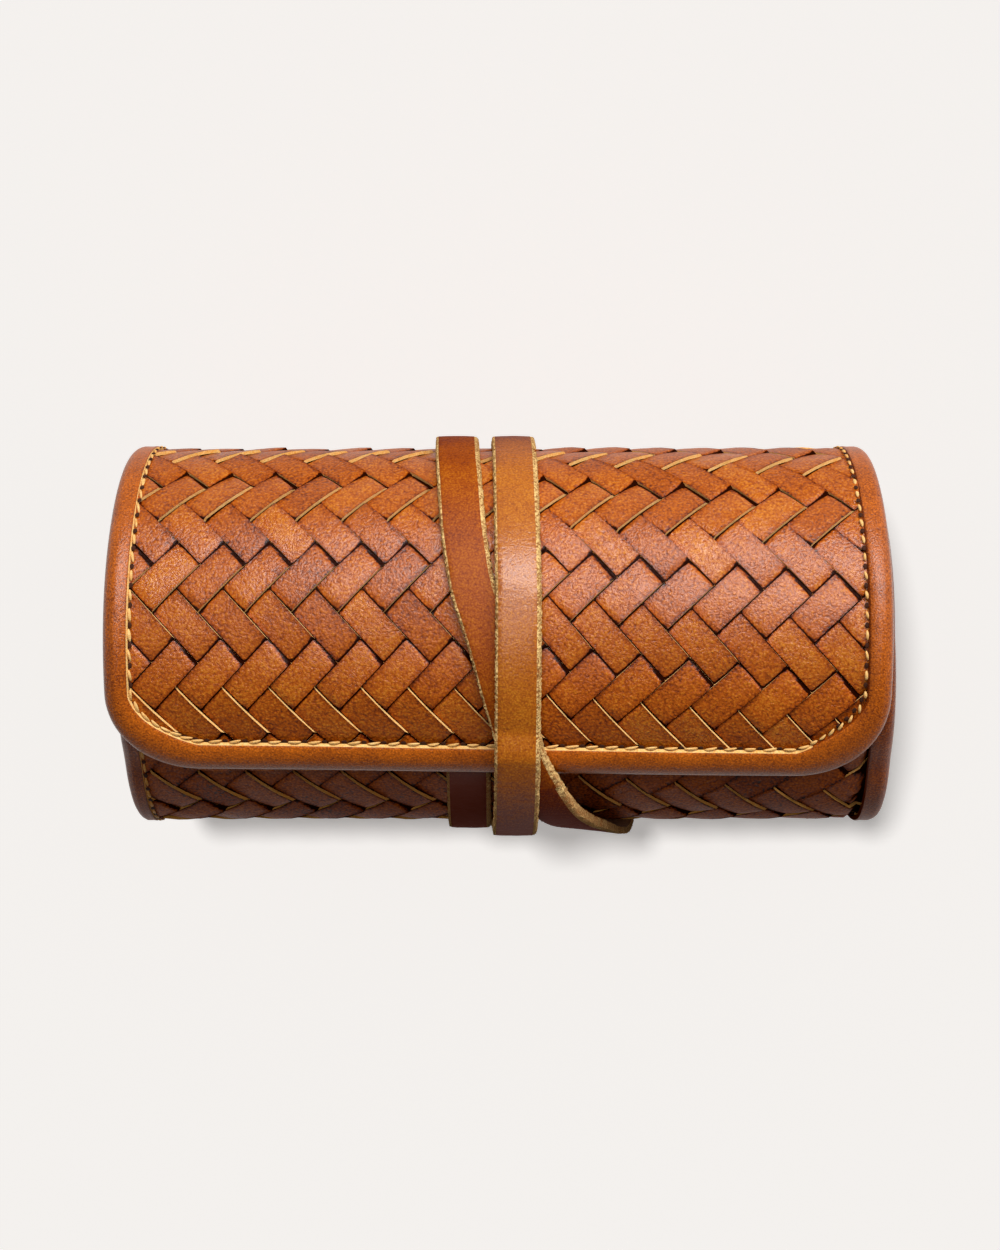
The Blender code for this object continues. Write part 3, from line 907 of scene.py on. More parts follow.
@dataclass
class WovenPanel:
    """The herringbone: strips of two families, each over two and under two of the other.

    Lengths along a strip are counted in pitches of the other family. A float is the part of a
    strip that lies over two others, from -1 to 1 about its middle.
    """

    tip_pitch: float = 12.4 * MM
    row_period: float = 27.1 * MM
    across_shift: float = 6.1 * MM
    along_shift: float = 14.7 * MM
    sag_start: float = -8.0 * MM
    sag_slope: float = 0.095
    sag_round: float = 6.0 * MM
    right_stretch: float = 0.055
    right_start: float = 28.0 * MM
    right_round: float = 5.0 * MM
    body_windings: tuple = (150.0, 335.0)
    body_stretch: float = 0.075
    body_anchor: float = 96.0 * MM
    body_drop: float = 3.4 * MM
    body_shift: float = -0.15 * MM
    edge_dip: float = 2.2 * MM
    dip_insets: tuple = (5.4 * MM, 3.8 * MM)
    dip_windings: tuple = (230.0, 290.0)
    leather: float = 0.95 * MM
    strip_gap: float = 0.24 * MM
    strip_widths: tuple = (0.975, 1.0)
    dive: float = 1.10 * MM
    dive_run: tuple = (0.90, 1.06)
    # Painted shade: the edge mark where a strip dives and in the dip beside the right binding darkens the
    # dye.
    dive_shade_run: tuple = (0.86, 0.98)
    dive_painted_shade: float = 1.22
    dip_painted_shade: float = 1.35
    tilt: float = 0.42 * MM
    uneven_tilt: float = 0.20 * MM
    end_fall: float = 0.22 * MM
    fall_run: tuple = (0.25, 0.95)
    crown: float = 0.06 * MM
    sink: float = 0.17 * MM
    slot: float = 0.16
    slot_run: tuple = (0.5, 0.75)
    slot_slant: float = 0.8
    dived_tilt: float = 0.4
    strip_tone: float = 0.04
    float_tone: float = 0.07
    edge_inset: float = 1.4 * MM
    spare: float = 4.0 * MM
    columns: int = 5
    stations: tuple = (
        -2.0, -1.55, -1.25, -1.06, -0.98, -0.90, -0.70, -0.35, 0.0, 0.35, 0.70, 0.81, 0.90, 0.98, 1.06,
        1.25, 1.55,
    )
    most_floats: int = 64
    seed: int = 7
    slot_seed: int = 3

    def __post_init__(self) -> None:
        """Works out the strips' angle and pitch from the chevrons' pitches."""
        self.angle = math.atan(self.row_period / 2 / self.tip_pitch)
        self.pitch = self.tip_pitch * math.sin(self.angle)
        self.unit_across = self.pitch / (2 * math.sin(self.angle))
        self.unit_along = self.pitch / (2 * math.cos(self.angle))
        self.chance = np.random.RandomState(self.seed)
        self.slot_chance = np.random.RandomState(self.slot_seed)

    def build(self) -> None:
        """Weaves the flat panel, cuts it to its outline and winds its pieces."""
        flat = self.weave()
        self.trim(flat)
        for name, start, end, rides, nodes in (
            ("woven_flap", -10.0, CUT.front_part, UNROLL_FOLD, ("woven_flap_front",)),
            ("woven_back", CUT.front_part, CUT.rear_part, HINGE_FOLD, ("woven_flap_rear",)),
            ("woven_body", CUT.rear_part, CUT.core_part, Body.ROLL, ("woven_body_back", "woven_body_front")),
            ("woven_core", CUT.core_part, CUT.end_winding, Body.ROLL, ("woven_body_core",)),
        ):
            piece = Bench.copy(flat, name)
            low, high = CUT.stretch(start, end)
            Bench.cut_away(piece, (0.0, low, 0.0), (0.0, -1.0, 0.0))
            Bench.cut_away(piece, (0.0, high, 0.0), (0.0, 1.0, 0.0))
            Bench.wind(piece)
            Bench.thicken(piece, self.leather, use_even_offset=False, material_offset_rim=1)
            Bench.finish(piece, Slot.WEAVE, rides, nodes)
        bpy.data.objects.remove(flat)

    def weave(self) -> Piece:
        """Lays every strip of both families flat, and joins them."""
        strips = []
        length = OUTLINE.distance_at(CUT.end_winding) + self.sag(CUT.half())
        reach = (CUT.half() + 10 * MM) / self.unit_across
        low = (-self.along_shift - self.spare) / self.unit_along
        high = (length - self.along_shift + self.spare) / self.unit_along
        for family in Family:
            for index in range(math.floor((low - reach) / 2), math.ceil((high + reach) / 2) + 1):
                start = max(index - reach, low - index)
                end = min(index + reach, high - index)
                if end - start > 0.5:
                    strips.append(self.strip(family, index, start, end))
        LOG.info("wove %d strips", len(strips))
        return Bench.join(strips, "flat_weave")

    def strip(self, family: Family, index: int, start: float, end: float) -> Piece:
        """Lays one strip, rising over and diving under the other family.

        Args:
            family: Which way the strip slants.
            index: The strip's place in its family.
            start: The crossing strip, counted in pitches, where it starts.
            end: The crossing strip where it ends.

        Returns:
            The strip.
        """
        centre = 0.5 if family is Family.FALLING else 2.5
        first = math.floor((start + index - centre) / 4) - 1
        turns = np.arange(first, math.ceil((end + index - centre) / 4) + 2)
        other = (centre - index + 4.0 * turns[:, None] + np.array(self.stations)[None, :]).reshape(-1)
        kept = (other > start) & (other < end)
        floats = np.repeat(turns - turns[0], len(self.stations))[kept]
        other = other[kept]
        share = np.linspace(family.value, -family.value, self.columns)
        half = (self.pitch - self.strip_gap) / 2 / self.pitch * self.chance.uniform(*self.strip_widths)
        own = index + share[None, :] * half + 0 * other[:, None]
        crossing = other[:, None] + 0 * own
        signed = (other + index - centre + 2.0) % 4.0 - 2.0
        reach = self.reach(family, signed, floats, share)
        height = self.height(family, signed, reach, floats, share)
        flat_across, flat_distance = self.drawn(
            -family.value * (own - crossing) * self.unit_across, (own + crossing) * self.unit_along
        )
        dip = smooth_share(flat_across, *(CUT.half() - inset for inset in self.dip_insets))
        dip *= smooth_share(flat_distance, *CUT.stretch(*self.dip_windings))
        points = np.stack((flat_across, flat_distance, height - self.edge_dip * dip), axis=-1)
        strip = Bench.lay_grid(f"strip_{family.name.lower()}_{index}", points, (WOVEN_STRIP, CUT_EDGE))
        tones = self.chance.uniform(-self.strip_tone, self.strip_tone)
        tones = tones + self.chance.uniform(-self.float_tone, self.float_tone, self.most_floats)[floats]
        Bench.write(strip, "tone", tones[:, None] + 0 * height)
        # The strip's sides are darkened as burnished edges; painted shade darkens it where it dives and in
        # the dip.
        burnish_and_shade = np.maximum(np.abs(share)[None, :], self.dive_painted_shade * smooth_share(reach, *self.dive_shade_run))
        Bench.write(strip, "edge", np.maximum(burnish_and_shade, self.dip_painted_shade * dip))
        return strip

    def reach(self, family: Family, signed: Array, floats: Array, share: Array) -> Array:
        """Gives how far each point lies from its float's middle.

        Args:
            family: Which way the strip slants.
            signed: Each station's place along its float, in pitches from the float's middle.
            floats: Which float each station belongs to.
            share: How far across the strip each column lies, from -1 to 1.

        Returns:
            The distance in pitches, more at the upper end of a rising float, which dives early
            there and leaves a slot, darkened with painted shade.
        """
        opened = self.slot_chance.uniform(0.0, self.slot, self.most_floats)[floats]
        opened = opened * smooth_share(signed, *self.slot_run) * (family is Family.RISING)
        slant = (1.0 - self.slot_slant * share[None, :]) / (1.0 + self.slot_slant)
        return np.abs(signed)[:, None] + opened[:, None] * slant

    def height(self, family: Family, signed: Array, reach: Array, floats: Array, share: Array) -> Array:
        """Gives a strip's height at each station and across its width.

        Args:
            family: Which way the strip slants.
            signed: Each station's place along its float, in pitches from the float's middle.
            reach: How far each point lies from its float's middle, in pitches.
            floats: Which float each station belongs to.
            share: How far across the strip each column lies, from -1 to 1.

        Returns:
            The height of the strip's face above the woven face, dipping where it dives.
        """
        down = smooth_share(reach, *self.dive_run)
        over = 1.0 - down
        roll = self.tilt + self.chance.uniform(-1, 1, self.most_floats)[floats] * self.uneven_tilt
        pitch = self.chance.uniform(-1, 1, self.most_floats)[floats] * self.uneven_tilt
        tilted = self.dived_tilt + (1.0 - self.dived_tilt) * over
        raised = -family.value * share[None, :] * roll[:, None] * tilted
        fall = self.end_fall * smooth_share(reach, *self.fall_run) * over
        slope = (pitch * signed)[:, None] * over - fall - self.dive * down - self.sink
        return raised + slope - self.crown * share[None, :] ** 2 * over

    def drawn(self, across: Array, along: Array) -> tuple[Array, Array]:
        """Draws the even weave out of true, as on the real panel.

        Args:
            across: Places across in the even weave.
            along: Places along in the even weave.

        Returns:
            The places across and the distances from the flap's free edge on the flat panel.
        """
        across = across + self.across_shift
        distance = along + self.along_shift - self.sag(across)
        beyond = across - self.right_start
        across = across + self.right_stretch * (beyond + np.sqrt(beyond**2 + self.right_round**2)) / 2
        body = smooth_share(distance, *CUT.stretch(*self.body_windings))
        across = across + body * (self.body_stretch * (across + self.body_anchor) + self.body_shift)
        return across, distance + body * self.body_drop

    def sag(self, across: Array) -> Array:
        """Gives how far the weave's rows sag to the front on the right of the roll."""
        beyond = across - self.sag_start
        return self.sag_slope * (beyond + np.sqrt(beyond**2 + self.sag_round**2)) / 2

    def trim(self, flat: Piece) -> None:
        """Cuts the weave to the panel's outline, inside its binding, with facets round its corners.

        Args:
            flat: The flat weave.
        """
        half = CUT.half() - self.edge_inset
        end = OUTLINE.distance_at(CUT.end_winding) - self.edge_inset
        Bench.cut_away(flat, (0.0, self.edge_inset, 0.0), (0.0, -1.0, 0.0))
        Bench.cut_away(flat, (0.0, end, 0.0), (0.0, 1.0, 0.0))
        radius = CUT.corner_radius - self.edge_inset
        for side in (-1, 1):
            Bench.cut_away(flat, (side * half, 0.0, 0.0), (side, 0.0, 0.0))
            for turn in np.radians((15, 30, 45, 60, 75)):
                outward = (side * math.cos(turn), -math.sin(turn), 0.0)
                across = side * (CUT.half() - CUT.corner_radius) + outward[0] * radius
                Bench.cut_away(flat, (across, CUT.corner_radius + outward[1] * radius, 0.0), outward)


@dataclass
class InnerSheets:
    """The suede lining behind the weave, the tool pockets on it and the cover flap."""

    weave_thickness: float = 2.8 * MM
    lining: float = 1.0 * MM
    lining_inset: float = 1.3 * MM
    lining_start: float = 1.4
    lining_end: float = 583.5
    gap: float = 0.3 * MM
    pocket_leather: float = 1.2 * MM
    binding_width: float = 8.0 * MM
    pocket_depth: float = 115.0 * MM
    tape_width: float = 6.0 * MM
    tape: float = 0.5 * MM
    cover_clearance: float = 3.8 * MM
    pocket_start: float = 165.0
    pocket_end: float = 395.0
    pocket_count: int = 9
    seam_dip: float = 0.5 * MM
    seam_width: float = 0.16
    face_swell: float = 0.2 * MM
    step: float = 2.5 * MM
    columns: int = 49

    def build(self) -> None:
        """Lays the lining, the pocket panel with its seams and tape, and the cover flap."""
        top = -self.weave_thickness - self.gap
        body_nodes = ("lining_body_back", "lining_body_front", "lining_body_core")
        for place, start, end, rides, nodes in (
            ("flap", self.lining_start, CUT.front_part, UNROLL_FOLD, ("lining_flap_front",)),
            ("back", CUT.front_part, CUT.rear_part, HINGE_FOLD, ("lining_flap_rear",)),
            ("body", CUT.rear_part, self.lining_end, Body.ROLL, body_nodes),
        ):
            piece, flat, area = self.sheet(f"lining_{place}", (start, end), None, top, (LINING_SUEDE,))
            Bench.thicken(piece, self.lining)
            Bench.finish(piece, Slot.LINING, rides, nodes)
        self.pockets(top - self.lining - self.gap)

    def sheet(
        self, name: str, windings: tuple[float, float], sides: Optional[tuple[float, float]], top: float,
        finishes: Sequence[Leather | RawFibre], shape: Optional[Callable[[Array], Array]] = None,
    ) -> tuple[Piece, tuple[float, float], float]:
        """Lays a flat sheet between two windings and winds it.

        Args:
            name: The piece's name.
            windings: Where it starts and ends.
            sides: Its left and right edges, or nothing for the panel's own.
            top: The height of its face towards the weave.
            finishes: The finishes of its material slots.
            shape: What changes its height at each distance along.

        Returns:
            The sheet, wound on the roll, its cut's width and length, and its cut's area.
        """
        low, high = CUT.stretch(*windings)
        rows = np.linspace(low, high, max(2, round((high - low) / self.step)) + 1)
        inset = CUT.half_at(rows, self.lining_inset)
        lefts, rights = (-inset, inset) if sides is None else (np.full(rows.shape, side) for side in sides)
        spans = rights - lefts
        across = lefts[:, None] + spans[:, None] * np.linspace(0.0, 1.0, self.columns)[None, :]
        distance = rows[:, None] + 0 * across
        height = np.full(across.shape, top)
        if shape is not None:
            height = height + shape(distance)
        piece = Bench.lay_grid(name, np.stack((across, distance, height), axis=-1), finishes)
        Bench.wind(piece)
        area = float(np.sum((spans[1:] + spans[:-1]) / 2 * np.diff(rows)))
        return piece, (float(spans.max()), high - low), area

    def pockets(self, top: float) -> None:
        """Lays the pocket panel, whose faces swell between their seams, its tape and the cover.

        Args:
            top: The height of the pocket panel's face towards the lining.
        """
        edge = CUT.half() - self.binding_width - self.gap
        mouth = self.pocket_depth - edge
        windings = (self.pocket_start, self.pocket_end)
        low, high = CUT.stretch(*windings)
        width = (high - low) / self.pocket_count

        def between_seams(distance: Array) -> Array:
            """Draws the leather in along each seam."""
            phase = (distance - low) / width * math.pi
            return self.seam_dip * np.exp(-((np.sin(phase) / self.seam_width) ** 2)) - self.face_swell

        tape_top = top - self.pocket_leather - self.gap
        panel_sides = (-edge, mouth)
        cover_sides = (mouth + self.cover_clearance, edge)
        tape_sides = (mouth - self.tape_width, mouth)
        calf = (self.pocket_leather, Slot.POCKET, POCKET_HIDE)
        tape = (self.tape, Slot.BINDING, FOLDED_BINDING)
        for name, node, sides, height, (thickness, slot, hide), shape in (
            ("pocket_panel", "tool_pocket_panel", panel_sides, top, calf, between_seams),
            ("mouth_tape", "pocket_mouth_tape", tape_sides, tape_top, tape, None),
            ("cover_flap", "tool_cover_flap", cover_sides, top, calf, None),
        ):
            piece, flat, area = self.sheet(name, windings, sides, height, (hide, CUT_EDGE), shape)
            Bench.thicken(piece, thickness, material_offset_rim=1)
            Bench.finish(piece, slot, Body.ROLL, (node,))


@dataclass
class EdgeBinding:
    """The leather folded over the panel's edge, and the golden stitches along its raw inner edge.

    A path's rows are the place across, the distance from the flap's free edge, the way inwards
    across and along, and the binding's width.
    """

    side_width: float = 7.0 * MM
    front_width: float = 10.0 * MM
    corner_width: float = 1.7 * MM
    right_corner_width: float = 3.0 * MM
    body_left_width: float = 5.4 * MM
    body_right_width: float = 6.8 * MM
    flare: float = 1.5 * MM
    right_trim: float = 1.3 * MM
    body_left_flare: float = 1.9 * MM
    body_windings: tuple = (190.0, 300.0)
    # How many millimetres the right edge stands out at each winding, as the roll leans on its right end.
    right_flares: tuple = (
        (110.0, 0.2), (200.0, 0.6), (280.0, 3.9), (320.0, 4.4), (345.0, 3.5), (368.0, 2.6), (405.0, 1.0),
    )
    front_skew: float = 2.4 * MM
    skew_reach: float = 50.0 * MM
    front_reach: float = 1.0 * MM
    leather: float = 1.0 * MM
    swell: float = 0.9 * MM
    back_swell: float = 0.1 * MM
    raw_bevel: float = 0.35 * MM
    raw_round: float = 0.4 * MM
    raw_rise: float = 0.2 * MM
    raw_dip: float = 0.05 * MM
    inner_share: float = 0.85
    body_tuck: float = 2.0 * MM
    tuck_windings: tuple = (235.0, 265.0)
    back_sink: float = 0.9 * MM
    back_windings: tuple = (50.0, 90.0)
    stack: float = 4.1 * MM
    gap: float = 0.3 * MM
    face_shares: tuple = (0.74, 0.58, 0.42)
    # Shares of the width and heights above the stack's underside, along the fold's back.
    back_face: tuple = ((0.6, -0.2 * MM), (0.85, -0.1 * MM), (1.0, 0.1 * MM))
    fold_depth: float = 3.0 * MM
    fold_sweep: float = 76.0
    fold_points: int = 11
    # A pale highlight painted at one point of the fold on the right side, as far as a winding.
    rubbed_point: int = 4
    rub: float = 0.5
    rub_end: float = 405.0
    # Painted light on the flap's front binding, painted shade on the body's binding from the roll's underside
    # on, and a darker tone on all of it.
    front_painted_light: float = 0.08
    body_painted_shade: float = 0.20
    body_shade_windings: tuple = (230.0, 300.0)
    all_tone: float = 0.10
    stitch_pitch: float = 5.3 * MM
    stitch_length: float = 3.5 * MM
    stitch_radius: float = 0.40 * MM
    stitch_leans: tuple = (0.0, 0.22)
    stitch_lengths: tuple = (0.88, 1.1)
    stitch_girths: tuple = (0.95, 1.3)
    stitch_inset: float = 0.45 * MM
    stitch_arch: float = 0.3 * MM
    stitch_seat: float = 0.15 * MM
    stitch_tuck: float = 1.5 * MM
    right_stitch: float = 0.72
    hole_radius: float = 0.6 * MM
    hole_stretch: float = 1.3
    hole_depth: float = 0.2 * MM
    hole_sink: float = 0.05 * MM
    step: float = 1.5 * MM
    seed: int = 11

    def __post_init__(self) -> None:
        """Starts the stitches' own chance."""
        self.chance = np.random.RandomState(self.seed)

    def build(self) -> None:
        """Folds the binding round the flap, down both sides and across the inner end, and sews it."""
        self.run("flap", self.flap_path(), UNROLL_FOLD, ("binding_flap_front",), ("thread_flap_front",))
        for word, side in (("left", -1), ("right", 1)):
            self.run(
                f"back_{word}", self.side_path(side, CUT.front_part, CUT.rear_part), HINGE_FOLD,
                (f"binding_flap_rear_{word}",), (f"thread_flap_rear_{word}",),
            )
            self.run(
                f"body_{word}", self.side_path(side, CUT.rear_part, CUT.end_winding), Body.ROLL,
                (f"binding_body_{word}",), (f"thread_body_{word}",),
            )
        self.run("core_end", self.end_path(), Body.ROLL, ("binding_core_end",), ())

    def run(
        self, name: str, path: Array, rides: Body | Fold, nodes: Sequence[str], threads: Sequence[str]
    ) -> None:
        """Folds and sews one run of binding.

        Args:
            name: The run's name.
            path: The run's path.
            rides: What the run rides on.
            nodes: The CAD bindings that it stands for.
            threads: The CAD threads that its stitches stand for.
        """
        Bench.finish(self.fold(f"folded_edge_{name}", path), Slot.BINDING, rides, nodes, 55.0)
        seam = path.copy()
        tucked = smooth_share(seam[:, 1], *CUT.stretch(*self.tuck_windings)) * (name == "body_right")
        seam[:, 4] -= self.body_tuck * tucked
        Bench.finish(self.sew(f"stitches_{name}", seam, tucked), Slot.THREAD, rides, threads)

    def profile(self, width: float, swell: float) -> tuple[Array, Array, Array]:
        """Gives the fold's closed section, from its raw top edge round the fold and back inside.

        Args:
            width: How far the binding reaches in from the panel's edge.
            swell: How far its face swells over the stack.

        Returns:
            Rows of how far in and how high, the material slot of the face after each point, and
            how near the fold or an edge each point lies.
        """
        top = self.gap + self.leather
        low = -self.stack - self.gap - self.leather
        middle = (top + low) / 2
        raw = width - self.raw_bevel
        outer = [(raw, top - self.raw_dip), (raw - self.raw_round, top + self.raw_rise)]
        for share in self.face_shares:
            outer.append((width * share, top + swell * math.sin(math.pi * share) ** 0.7))
        turns = np.radians(np.linspace(self.fold_sweep, -self.fold_sweep, self.fold_points))
        deep = min(self.fold_depth, width * 0.5)
        high = (top - low) / 2 + swell * 0.5
        outer += [(deep - deep * math.cos(turn), middle + high * math.sin(turn)) for turn in turns]
        outer += [(width * share, low + rise) for share, rise in self.back_face]
        skin = np.array(outer)
        run = np.gradient(skin, axis=0)
        run /= np.linalg.norm(run, axis=1)[:, None]
        inner = skin + self.leather * self.inner_share * np.stack((-run[:, 1], run[:, 0]), axis=1)
        inner[0] = (width, self.gap + self.raw_dip)
        section = np.concatenate((skin, inner[::-1]))
        kinds = np.array([0] * (len(skin) - 1) + [1] + [0] * (len(skin) - 1) + [1])
        edge = np.concatenate((np.full(len(skin), 0.3), np.full(len(skin), 1.0)))
        edge[0] = 1.0
        # The fold's edge mark rises towards its underside: a burnished edge, with painted shade there as
        # well.
        edge[self.fold_slice()] = np.interp(-turns, np.radians((-60.0, 5.0)), (0.4, 1.0))
        return section, kinds, edge

    def fold_slice(self) -> slice:
        """Gives the places of the fold's own points in its section, after the raw edge and the face."""
        first = 2 + len(self.face_shares)
        return slice(first, first + self.fold_points)

    def fold(self, name: str, path: Array) -> Piece:
        """Lays the fold's closed skin along a path, wound on the roll.

        Args:
            name: The piece's name.
            path: The run's path.

        Returns:
            The fold.
        """
        rings, kinds, rubs, edges = [], [], [], []
        back = smooth_share(path[:, 1], *CUT.stretch(*self.back_windings))
        last_rub = OUTLINE.distance_at(self.rub_end)
        for (across, distance, inward, onward, width), far in zip(path, back):
            section, kind, edge = self.profile(width, self.swell + (self.back_swell - self.swell) * far)
            hidden = inward < -0.3 and across > 0
            kinds.append(np.where((np.arange(len(kind)) == len(kind) - 1) & hidden, 0, kind))
            # Paints a pale highlight along the fold on the right side only, where the light from the right
            # falls.
            rub = np.zeros(len(section))
            amount = self.rub * float(smooth_share(-inward, 0.1, 0.6)) * float(distance < last_rub)
            rub[self.fold_slice().start + self.rubbed_point] = amount
            rubs.append(rub)
            # The fold's edge mark is halved at the flap's front, so that its burnish and painted shade fade
            # there.
            edge[self.fold_slice()] *= 1.0 - 0.5 * onward
            edges.append(edge)
            ring = np.empty((len(section), 3))
            ring[:, 0] = across + inward * section[:, 0]
            ring[:, 1] = distance + onward * section[:, 0]
            ring[:, 2] = section[:, 1] - self.back_sink * far
            rings.append(OUTLINE.wind(ring))
        # Lightens the front binding with painted light and darkens the body's binding with painted shade.
        body = smooth_share(path[:, 1], *CUT.stretch(*self.body_shade_windings))
        tone = self.front_painted_light * path[:, 3] - self.body_painted_shade * body - self.all_tone
        piece = Bench.lay_loop(
            name, np.stack(rings), np.stack(kinds[:-1]), (FOLDED_BINDING, CUT_EDGE), edge=np.stack(edges),
            rub=np.stack(rubs), tone=tone[:, None],
        )
        Bench.close_ends(piece, 0)
        return piece

    def sew(self, name: str, path: Array, tucked: Array) -> Piece:
        """Sews stitches one after another along a path beside the binding's raw edge, with painted shade in
        the holes between.

        Args:
            name: The seam's name.
            path: The seam's path.
            tucked: How far the seam is tucked under the binding at each row of the path, from 0 to 1.

        Returns:
            The stitches and their holes.
        """
        bead, shape = Bench.bead()
        along_bead, aside_bead, up_bead = shape.T
        run = np.concatenate(([0.0], np.cumsum(np.linalg.norm(np.diff(path[:, :2], axis=0), axis=1))))
        count = max(1, int(run[-1] / self.stitch_pitch))
        places = []
        for centre in (np.arange(count) + 0.5) * run[-1] / count:
            across, distance, inward, onward, width = (np.interp(centre, run, path[:, i]) for i in range(5))
            lean = self.chance.uniform(*self.stitch_leans)
            size = self.chance.uniform(*self.stitch_lengths) * (self.right_stitch if inward < -0.3 else 1.0)
            along = along_bead * self.stitch_length / 2 * size
            girth = self.stitch_radius * self.chance.uniform(*self.stitch_girths)
            aside = aside_bead * girth + along * lean
            back = float(smooth_share(distance, *CUT.stretch(*self.back_windings)))
            deep = float(smooth_share(distance, *CUT.stretch(*self.tuck_windings))) * float(tucked.any())
            seat = self.gap - self.back_sink / 2 * back - self.stitch_tuck * deep + self.stitch_seat
            up = up_bead * self.stitch_radius + self.stitch_arch * (1 - along_bead**2)
            hole_along = run[-1] / count / 2 + along_bead * self.hole_radius * self.hole_stretch
            hole_height = self.gap - self.hole_sink + up_bead * self.hole_depth
            for finish, beside, further, height in (
                (WAXED_THREAD, aside, along, seat + up),
                (PAINTED_HOLE_SHADE, aside_bead * self.hole_radius, hole_along, hole_height),
            ):
                inset = width + self.stitch_inset + beside
                x = across + inward * inset + onward * further
                flat = distance + onward * inset - inward * further
                wound = OUTLINE.wind(np.stack((x, flat, height), axis=1))
                places.append((f"{name}_{len(places)}", wound, finish))
        return Bench.beads_joined(bead, places, name)

    def flap_path(self) -> Array:
        """Gives the path down the flap's left side, round its free edge and up its right side."""
        half = CUT.half() + self.flare
        radius = CUT.corner_radius
        back = OUTLINE.distance_at(CUT.front_part)
        corner = [(-half, d, 1.0, 0.0) for d in np.linspace(back, radius, round((back - radius) / self.step))]
        for turn in np.linspace(0.0, math.pi / 2, round(radius * math.pi / 2 / self.step))[1:]:
            inward, onward = math.cos(turn), math.sin(turn)
            corner.append((-half + radius * (1 - inward), radius * (1 - onward), inward, onward))
        straight = half - radius
        rows = np.linspace(-straight, straight, round(2 * straight / self.step))
        front = [(a, 0.0, 0.0, 1.0) for a in rows]
        mirrored = [(-a, d, -i, o) for a, d, i, o in reversed(corner)]
        path = np.array(corner + front[1:-1] + mirrored)
        widths = self.side_width + (self.front_width - self.side_width) * path[:, 3] ** 1.5
        wider = np.where(path[:, 0] > 0, self.right_corner_width, self.corner_width)
        widths += wider * 2 * np.abs(path[:, 2]) * path[:, 3]
        drawn_back = np.clip(1.0 - path[:, 1] / self.skew_reach, 0.0, 1.0) * (half - path[:, 0]) / (2 * half)
        path[:, 1] += self.front_skew * drawn_back
        path[:, 1] -= self.front_reach * path[:, 3] * np.clip(path[:, 0] / half + 0.5, 0.0, 1.0)
        path[:, 0] -= self.right_trim * np.clip(path[:, 0] / half, 0.0, 1.0)
        return np.column_stack((path, widths))

    def side_path(self, side: int, start: float, end: float) -> Array:
        """Gives the path along one side between two windings, so that the fold faces out.

        Args:
            side: The side, -1 on the left and 1 on the right.
            start: The winding where it starts.
            end: The winding where it ends.

        Returns:
            The path.
        """
        low, high = CUT.stretch(start, end)
        rows = np.linspace(low, high, max(2, round((high - low) / self.step)))
        if side < 0:
            rows = rows[::-1]
        body = smooth_share(rows, *CUT.stretch(*self.body_windings))
        body_width = self.body_left_width if side < 0 else self.body_right_width
        widths = self.side_width + (body_width - self.side_width) * body
        edges = CUT.half() + self.flare + (self.body_left_flare - self.flare) * body
        if side > 0:
            windings, flares = zip(*self.right_flares)
            turned = np.interp(rows, OUTLINE.distances, OUTLINE.windings)
            edges = CUT.half() + MM * np.interp(turned, windings, flares)
        ones = np.ones(len(rows))
        return np.column_stack((side * edges, rows, -side * ones, 0 * ones, widths))

    def end_path(self) -> Array:
        """Gives the path across the panel's inner end, from right to left between the side bindings."""
        reach = CUT.half() - self.body_right_width - self.gap
        across = np.linspace(reach, -reach, round(2 * reach / self.step / 2))
        end = OUTLINE.distance_at(CUT.end_winding)
        ones = np.ones(len(across))
        return np.column_stack((across, ones * end, 0 * ones, -ones, ones * self.side_width))


